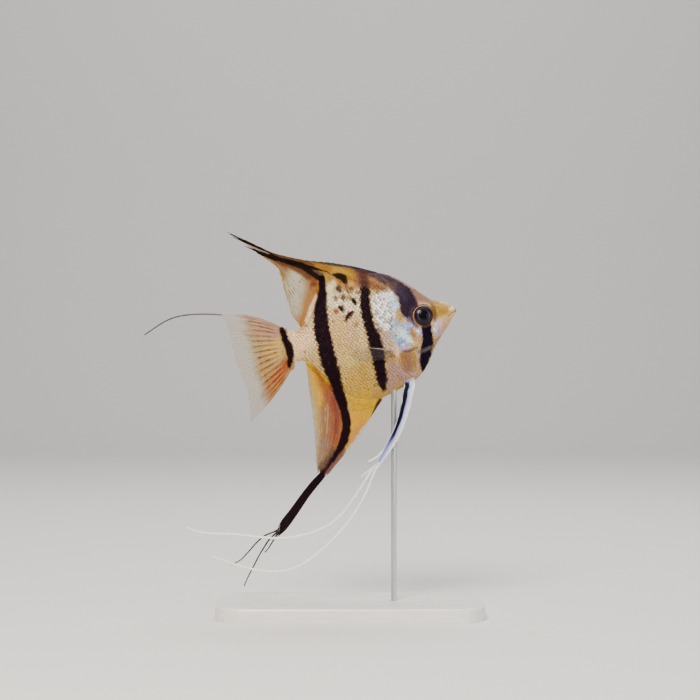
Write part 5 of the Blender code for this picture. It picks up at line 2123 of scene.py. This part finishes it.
def add_node(tree: bpy.types.NodeTree, kind: str, inputs: Optional[Dict] = None,
             stops: Sequence[Tuple[float, str]] = (), **settings: object) -> bpy.types.Node:
    """Adds a node with its settings and links.

    Args:
        tree: The material's nodes.
        kind: The node's type, without its first word.
        inputs: Sockets by name or number, each a value, a socket or a node to link from.
        stops: A colour ramp's places and hex colours.
        **settings: The node's own properties.

    Returns:
        The node.
    """
    made = tree.nodes.new("ShaderNode" + kind)
    for name, value in settings.items():
        setattr(made, name, value)
    for socket, value in (inputs or {}).items():
        value = value.outputs[0] if isinstance(value, bpy.types.Node) else value
        if isinstance(value, bpy.types.NodeSocket):
            tree.links.new(value, made.inputs[socket])
        else:
            made.inputs[socket].default_value = value
    for k, (place, code) in enumerate(stops):
        ramp = made.color_ramp.elements
        stop = ramp[k] if k < 2 else ramp.new(place)
        stop.position, stop.color = place, rgba(code)
    return made


def blank(name: str) -> Tuple[bpy.types.Material, bpy.types.NodeTree]:
    """Makes a material with an empty node tree.

    Args:
        name: The material's name.

    Returns:
        The material and its nodes.
    """
    made = bpy.data.materials.new(name)
    made.use_nodes = True
    made.node_tree.nodes.clear()
    return made, made.node_tree


def shade(tree: bpy.types.NodeTree, inputs: Dict) -> None:
    """Ends a tree with the surface shader and the output."""
    skin = add_node(tree, "BsdfPrincipled", inputs)
    add_node(tree, "OutputMaterial", {"Surface": skin})


def attribute(tree: bpy.types.NodeTree, name: str, number: bool = True) -> bpy.types.NodeSocket:
    """Reads a value stored on the piece's vertices."""
    made = add_node(tree, "Attribute", attribute_name=name, attribute_type="GEOMETRY")
    return made.outputs["Fac" if number else "Color"]


@dataclass(frozen=True)
class FishSkin:
    """Living fish skin: thin wet slime over pigment cells and mirror-like guanine plates.

    The eye gets a wet gloss, fine dark pigment grain and, where the plates are dense, a silver
    that drifts to sky blue, lilac and straw. Pigment grains are about 0.1 mm, too fine to show,
    so they are drawn 0.5 mm across.
    """

    name: str = "wet_fish_skin"
    grain_mm: float = 0.5
    sheen_mm: float = 2.6
    gleam: float = 0.5
    rough: float = 0.36
    relief_mm: float = 0.08
    scaled: bool = False

    def make(self) -> bpy.types.Material:
        """Builds the material.

        Returns:
            The material.
        """
        made, tree = blank(self.name)
        place = add_node(tree, "TexCoord").outputs["Object"]
        tint, shine = attribute(tree, "tint", False), attribute(tree, "shine")
        grain = add_node(tree, "TexNoise", {
            "Vector": place, "Scale": 1000 / self.grain_mm, "Detail": 2.0, "Roughness": 0.6})
        mottle = add_node(tree, "ValToRGB", {0: grain}, stops=((0.32, "#b3a394"), (0.62, "#ffffff")))
        base = add_node(tree, "Mix", {0: 0.55, 6: tint, 7: mottle}, **STAIN).outputs[2]
        drift = add_node(tree, "TexNoise", {
            "Vector": place, "Scale": 1000 / self.sheen_mm, "Detail": 2.0, "Distortion": 0.6})
        sky = add_node(tree, "ValToRGB", {0: drift}, stops=(
            (0.3, "#a9dcff"), (0.42, "#f4fdff"), (0.52, "#dcd2ff"), (0.6, "#fffaf0"), (0.7, "#bff0ff")))
        strong = add_node(tree, "Math", {0: shine, 1: 0.42}, operation="SUBTRACT", use_clamp=True)
        share = add_node(tree, "Math", {0: strong, 1: 2.4}, operation="MULTIPLY", use_clamp=True)
        base = add_node(tree, "Mix", {0: share, 6: base, 7: sky}, **STAIN).outputs[2]
        height = grain.outputs[0]
        strength = 0.25
        if self.scaled:
            base, height = self._plates(tree, base)
            strength = 0.35
        metal = add_node(tree, "Math", {0: shine, 1: self.gleam}, operation="MULTIPLY")
        rough = add_node(tree, "MapRange", {0: grain, 3: self.rough - 0.08, 4: self.rough + 0.12})
        bump = add_node(tree, "Bump", {"Height": height, "Strength": strength,
                                       "Distance": self.relief_mm * MM})
        gloss = add_node(tree, "MapRange", {0: shine, 1: 0.05, 2: 0.3, 3: 0.03, 4: 0.26})
        film = add_node(tree, "MapRange", {0: shine, 1: 0.05, 2: 0.3, 3: 0.02, 4: 0.1})
        shade(tree, {"Base Color": base, "Metallic": metal, "Roughness": rough,
                     "IOR": 1.38, "Specular IOR Level": gloss, "Normal": bump,
                     "Coat Weight": film, "Coat Roughness": 0.14, "Coat IOR": 1.34})
        return made

    def _plates(self, tree: bpy.types.NodeTree, base: bpy.types.NodeSocket
                ) -> Tuple[bpy.types.NodeSocket, bpy.types.NodeSocket]:
        """Adds what a scale shows: an olive rear rim and furrows that fan from its root.

        Args:
            tree: The material's nodes.
            base: The colour so far.

        Returns:
            The colour and the height.
        """
        rim = attribute(tree, "rim")
        edge = add_node(tree, "Math", {0: rim, 1: 0.34}, operation="MULTIPLY")
        toned = add_node(tree, "Mix", {0: edge, 6: base, 7: rgba("#8d7442")}, **STAIN).outputs[2]
        furrow = add_node(tree, "Math", {0: attribute(tree, "fan"), 1: 26.0}, operation="MULTIPLY")
        wave = add_node(tree, "Math", {0: furrow}, operation="SINE")
        return toned, wave.outputs[0]


@dataclass(frozen=True)
class FinWeb:
    """Fin membrane: clear skin stretched between jointed bony rays.

    The eye gets opaque, faintly cross-jointed rays between webs it can see through. Ray joints
    are about 0.4 mm apart, too fine to show, so they are drawn 0.9 mm apart.
    """

    name: str = "fin_membrane"
    joint_mm: float = 0.9
    rough: float = 0.38
    relief_mm: float = 0.08
    grain_mm: float = 0.6

    def make(self) -> bpy.types.Material:
        """Builds the material.

        Returns:
            The material.
        """
        made, tree = blank(self.name)
        place = add_node(tree, "TexCoord").outputs["Object"]
        tint, ray, reach = attribute(tree, "tint", False), attribute(tree, "ray"), attribute(tree, "reach")
        turns = add_node(tree, "Math", {0: reach, 1: 2 * math.pi / self.joint_mm}, operation="MULTIPLY")
        joint = add_node(tree, "Math", {0: turns}, operation="SINE")
        joint = add_node(tree, "Math", {0: joint, 1: ray}, operation="MULTIPLY")
        grain = add_node(tree, "TexNoise", {
            "Vector": place, "Scale": 1000 / self.grain_mm, "Detail": 2.0, "Roughness": 0.6})
        mottle = add_node(tree, "ValToRGB", {0: grain}, stops=((0.3, "#a8937c"), (0.62, "#ffffff")))
        base = add_node(tree, "Mix", {0: 0.5, 6: tint, 7: mottle}, **STAIN).outputs[2]
        dark = add_node(tree, "MapRange", {0: joint, 1: -1.0, 2: 1.0, 3: 0.0, 4: 0.35})
        base = add_node(tree, "Mix", {0: dark, 6: base, 7: rgba("#b49a80")}, **STAIN).outputs[2]
        solid = add_node(tree, "Math", {0: 1.0, 1: attribute(tree, "clear")},
                         operation="SUBTRACT", use_clamp=True)
        metal = add_node(tree, "Math", {0: attribute(tree, "shine"), 1: 0.35}, operation="MULTIPLY")
        bump = add_node(tree, "Bump", {"Height": joint, "Strength": 0.3, "Distance": self.relief_mm * MM})
        gloss = add_node(tree, "MapRange", {0: attribute(tree, "shine"), 1: 0.06, 2: 0.2, 3: 0.03,
                                            4: 0.26})
        shade(tree, {"Base Color": base, "Alpha": solid, "Metallic": metal, "Roughness": self.rough,
                     "IOR": 1.38, "Specular IOR Level": gloss, "Normal": bump})
        return made


@dataclass(frozen=True)
class RayHorn:
    """A drawn-out fin ray: smooth horn-like bone in a thin skin, satin and faintly ringed."""

    name: str
    joint_mm: float = 1.1
    rough: float = 0.34
    relief_mm: float = 0.06
    ring: str = "#c9c4b8"

    def make(self) -> bpy.types.Material:
        """Builds the material.

        Returns:
            The material.
        """
        made, tree = blank(self.name)
        place = add_node(tree, "TexCoord").outputs["Object"]
        turns = add_node(tree, "Math", {0: attribute(tree, "reach"), 1: 2 * math.pi / self.joint_mm},
                         operation="MULTIPLY")
        joint = add_node(tree, "Math", {0: turns}, operation="SINE")
        grain = add_node(tree, "TexNoise", {"Vector": place, "Scale": 1600.0, "Detail": 2.0})
        dark = add_node(tree, "MapRange", {0: joint, 1: 0.5, 2: 1.0, 3: 0.0, 4: 0.45})
        base = add_node(tree, "Mix", {0: dark, 6: attribute(tree, "tint", False), 7: rgba(self.ring)},
                        **STAIN).outputs[2]
        rough = add_node(tree, "MapRange", {0: grain, 3: self.rough - 0.06, 4: self.rough + 0.12})
        bump = add_node(tree, "Bump", {"Height": joint, "Strength": 0.25,
                                       "Distance": self.relief_mm * MM})
        shade(tree, {"Base Color": base, "Roughness": rough, "IOR": 1.45,
                     "Normal": bump, "Coat Weight": 0.15, "Coat Roughness": 0.15})
        return made


@dataclass(frozen=True)
class WetEye:
    """A living eye: pigment under a clear wet cornea, which gives one sharp highlight."""

    name: str = "wet_eye"

    def make(self) -> bpy.types.Material:
        """Builds the material.

        Returns:
            The material.
        """
        made, tree = blank(self.name)
        place = add_node(tree, "TexCoord").outputs["Object"]
        fibres = add_node(tree, "TexNoise", {"Vector": place, "Scale": 2400.0, "Detail": 3.0,
                                             "Roughness": 0.65})
        fleck = add_node(tree, "ValToRGB", {0: fibres}, stops=((0.34, "#8f7a78"), (0.66, "#ffffff")))
        base = add_node(tree, "Mix", {0: 0.7, 6: attribute(tree, "tint", False), 7: fleck},
                        **STAIN).outputs[2]
        rough = add_node(tree, "MapRange", {0: fibres, 3: 0.4, 4: 0.6})
        shade(tree, {"Base Color": base, "Metallic": attribute(tree, "shine"),
                     "Roughness": rough, "IOR": 1.38, "Specular IOR Level": 0.06,
                     "Coat Weight": 0.45, "Coat Roughness": 0.04, "Coat IOR": 1.34})
        return made


@dataclass(frozen=True)
class CastAcrylic:
    """Opaque white acrylic, cast and flame-polished: a soft gloss with faint wiping marks."""

    name: str = "cast_white_acrylic"
    colour: str = "#e9e8e4"
    wipe_mm: float = 1.4
    relief_mm: float = 0.05

    def make(self) -> bpy.types.Material:
        """Builds the material.

        Returns:
            The material.
        """
        made, tree = blank(self.name)
        place = add_node(tree, "TexCoord").outputs["Object"]
        drawn = add_node(tree, "Mapping", {"Vector": place, "Scale": (0.12, 1.0, 1.0)})
        wipes = add_node(tree, "TexNoise", {"Vector": drawn, "Scale": 1000 / self.wipe_mm, "Detail": 3.0})
        tone = add_node(tree, "ValToRGB", {0: wipes}, stops=((0.3, "#e2e1dc"), (0.7, self.colour)))
        rough = add_node(tree, "MapRange", {0: wipes, 3: 0.2, 4: 0.36})
        bump = add_node(tree, "Bump", {"Height": wipes, "Strength": 0.05,
                                       "Distance": self.relief_mm * MM})
        shade(tree, {"Base Color": tone, "Roughness": rough, "IOR": 1.49, "Normal": bump})
        return made


@dataclass(frozen=True)
class BrushedSteel:
    """Drawn stainless steel rod, brushed along its length: a soft grey line of light."""

    name: str = "brushed_stainless_steel"
    brush_mm: float = 0.25
    relief_mm: float = 0.02

    def make(self) -> bpy.types.Material:
        """Builds the material.

        Returns:
            The material.
        """
        made, tree = blank(self.name)
        place = add_node(tree, "TexCoord").outputs["Object"]
        drawn = add_node(tree, "Mapping", {"Vector": place, "Scale": (1.0, 1.0, 0.03)})
        brush = add_node(tree, "TexNoise", {"Vector": drawn, "Scale": 1000 / self.brush_mm,
                                            "Detail": 2.0})
        tone = add_node(tree, "ValToRGB", {0: brush}, stops=((0.3, "#b9bbbd"), (0.7, "#d4d5d6")))
        rough = add_node(tree, "MapRange", {0: brush, 3: 0.22, 4: 0.4})
        bump = add_node(tree, "Bump", {"Height": brush, "Strength": 0.15,
                                       "Distance": self.relief_mm * MM})
        shade(tree, {"Base Color": tone, "Metallic": 1.0, "Roughness": rough, "Normal": bump})
        return made


@dataclass(frozen=True)
class PaintedFloor:
    """Matt off-white studio paint, with the faint orange-peel of a roller."""

    name: str = "matt_studio_paint"
    colour: str = "#dfdedb"

    def make(self) -> bpy.types.Material:
        """Builds the material.

        Returns:
            The material.
        """
        made, tree = blank(self.name)
        place = add_node(tree, "TexCoord").outputs["Object"]
        peel = add_node(tree, "TexNoise", {"Vector": place, "Scale": 700.0, "Detail": 2.0})
        tone = add_node(tree, "ValToRGB", {0: peel}, stops=((0.3, "#d9d8d5"), (0.7, self.colour)))
        shade(tree, {"Base Color": tone, "Roughness": 0.85})
        return made


# ---------------------------------------------------------------- stand and studio


@dataclass
class Stand:
    """The plain display stand, kept from the solids and given its finishes."""

    base: str = "stand_base"
    rod: str = "stand_rod"

    def dress(self) -> None:
        """Finishes the base in acrylic and the rod in steel."""
        dress(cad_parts[self.base], CastAcrylic().make())
        dress(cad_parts[self.rod], BrushedSteel().make())
        log.info("stand: %s, %s", self.base, self.rod)


@dataclass
class Studio:
    """A pale sweep of floor and wall, soft lights and the camera."""

    wide: float = 4.0
    front: float = -1.6
    back: float = 1.9
    height: float = 1.9
    bend: float = 0.5
    camera_at: Tuple[float, float, float] = (0.0, -0.9, 0.1158)
    lens: float = 105.48

    def build(self) -> None:
        """Builds the sweep, the lights and the camera."""
        self._sweep()
        self._light("key", (-0.2, -0.72, 0.72), 0.35, 16.6, "#fff4e6")
        self._light("fill", (0.75, -0.6, 0.25), 0.6, 3.5, "#eef4ff")
        self._light("top", (0.1, 0.3, 0.9), 0.6, 7.0, "#ffffff")
        self._light("wall", (0.0, 0.7, 1.3), 0.9, 13.0, "#ffffff", (0.0, 1.9, 0.3))
        world = bpy.data.worlds.new("studio_air")
        world.use_nodes = True
        air = world.node_tree.nodes["Background"]
        air.inputs[0].default_value, air.inputs[1].default_value = rgba("#eceff2"), 0.22
        bpy.context.scene.world = world
        data = bpy.data.cameras.new("camera")
        data.lens, data.sensor_width = self.lens, 36.0
        camera = bpy.data.objects.new("camera", data)
        camera.location, camera.rotation_euler = self.camera_at, (math.pi / 2, 0, 0)
        bpy.context.scene.collection.objects.link(camera)
        bpy.context.scene.camera = camera

    def _sweep(self) -> None:
        """Bends one sheet from floor to wall."""
        piece, u, v = shaped_grid("studio_sweep", 2, 60)
        flat = self.back - self.bend - self.front
        arc = self.bend * math.pi / 2
        run = v * (flat + arc + self.height - self.bend)
        turn = np.clip((run - flat) / self.bend, 0, math.pi / 2)
        y = self.front + np.minimum(run, flat) + self.bend * np.sin(turn)
        z = self.bend * (1 - np.cos(turn)) + np.maximum(run - flat - arc, 0)
        settle(piece, np.stack([(u - 0.5) * self.wide, y, z], -1))
        dress(piece, PaintedFloor().make())
        pick(piece)
        bpy.ops.object.shade_smooth()
        deselect_all()

    def _light(self, name: str, at: Tuple[float, float, float], size: float, watts: float, colour: str,
               target: Tuple[float, float, float] = (0.0, 0.0, 0.11)) -> None:
        """Adds a soft square light aimed at a target, by default the fish.

        Args:
            name: The lamp's name.
            at: Where it stands, in metres.
            size: Its side.
            watts: Its power.
            colour: Its hex colour.
            target: What it aims at.
        """
        data = bpy.data.lights.new(name, "AREA")
        data.shape, data.size, data.energy, data.color = "SQUARE", size, watts, linear(colour)
        lamp = bpy.data.objects.new(name, data)
        aim = np.array(target) - np.array(at)
        lamp.location = at
        lamp.rotation_euler = (math.acos(-aim[2] / np.linalg.norm(aim)), 0,
                               math.atan2(aim[1], aim[0]) - math.pi / 2)
        bpy.context.scene.collection.objects.link(lamp)


# ---------------------------------------------------------------- the model


def main() -> None:
    """Builds the fish from the skin out, then its stand and the studio."""
    logging.basicConfig(level=logging.INFO, format="%(name)s: %(message)s")
    skin = Skin()
    skin.build(FishSkin().make())
    plates = FishSkin("wet_fish_scales", grain_mm=0.8, rough=0.42, scaled=True).make()
    coat = ScaleCoat(skin)
    for side in Side:
        for kind in ("flank", "crest", "cheek"):
            coat.build(side, kind, plates)
    web = FinWeb().make()
    MedianFins().build(web, plates)
    glass = FinWeb("clear_fin_membrane", rough=0.25).make()
    eye = WetEye().make()
    for side in Side:
        PectoralFins().build(side, glass)
        Eye().build(side, eye)
    blade = FinWeb("pelvic_membrane", joint_mm=1.2, rough=0.34).make()
    PelvicFins().build(blade, RayHorn("pearly_ray_horn").make())
    Streamers().build(web, RayHorn("dark_ray_horn", ring="#8a7a70").make())
    Stand().dress()
    Studio().build()


if __name__ == "__main__":
    main()
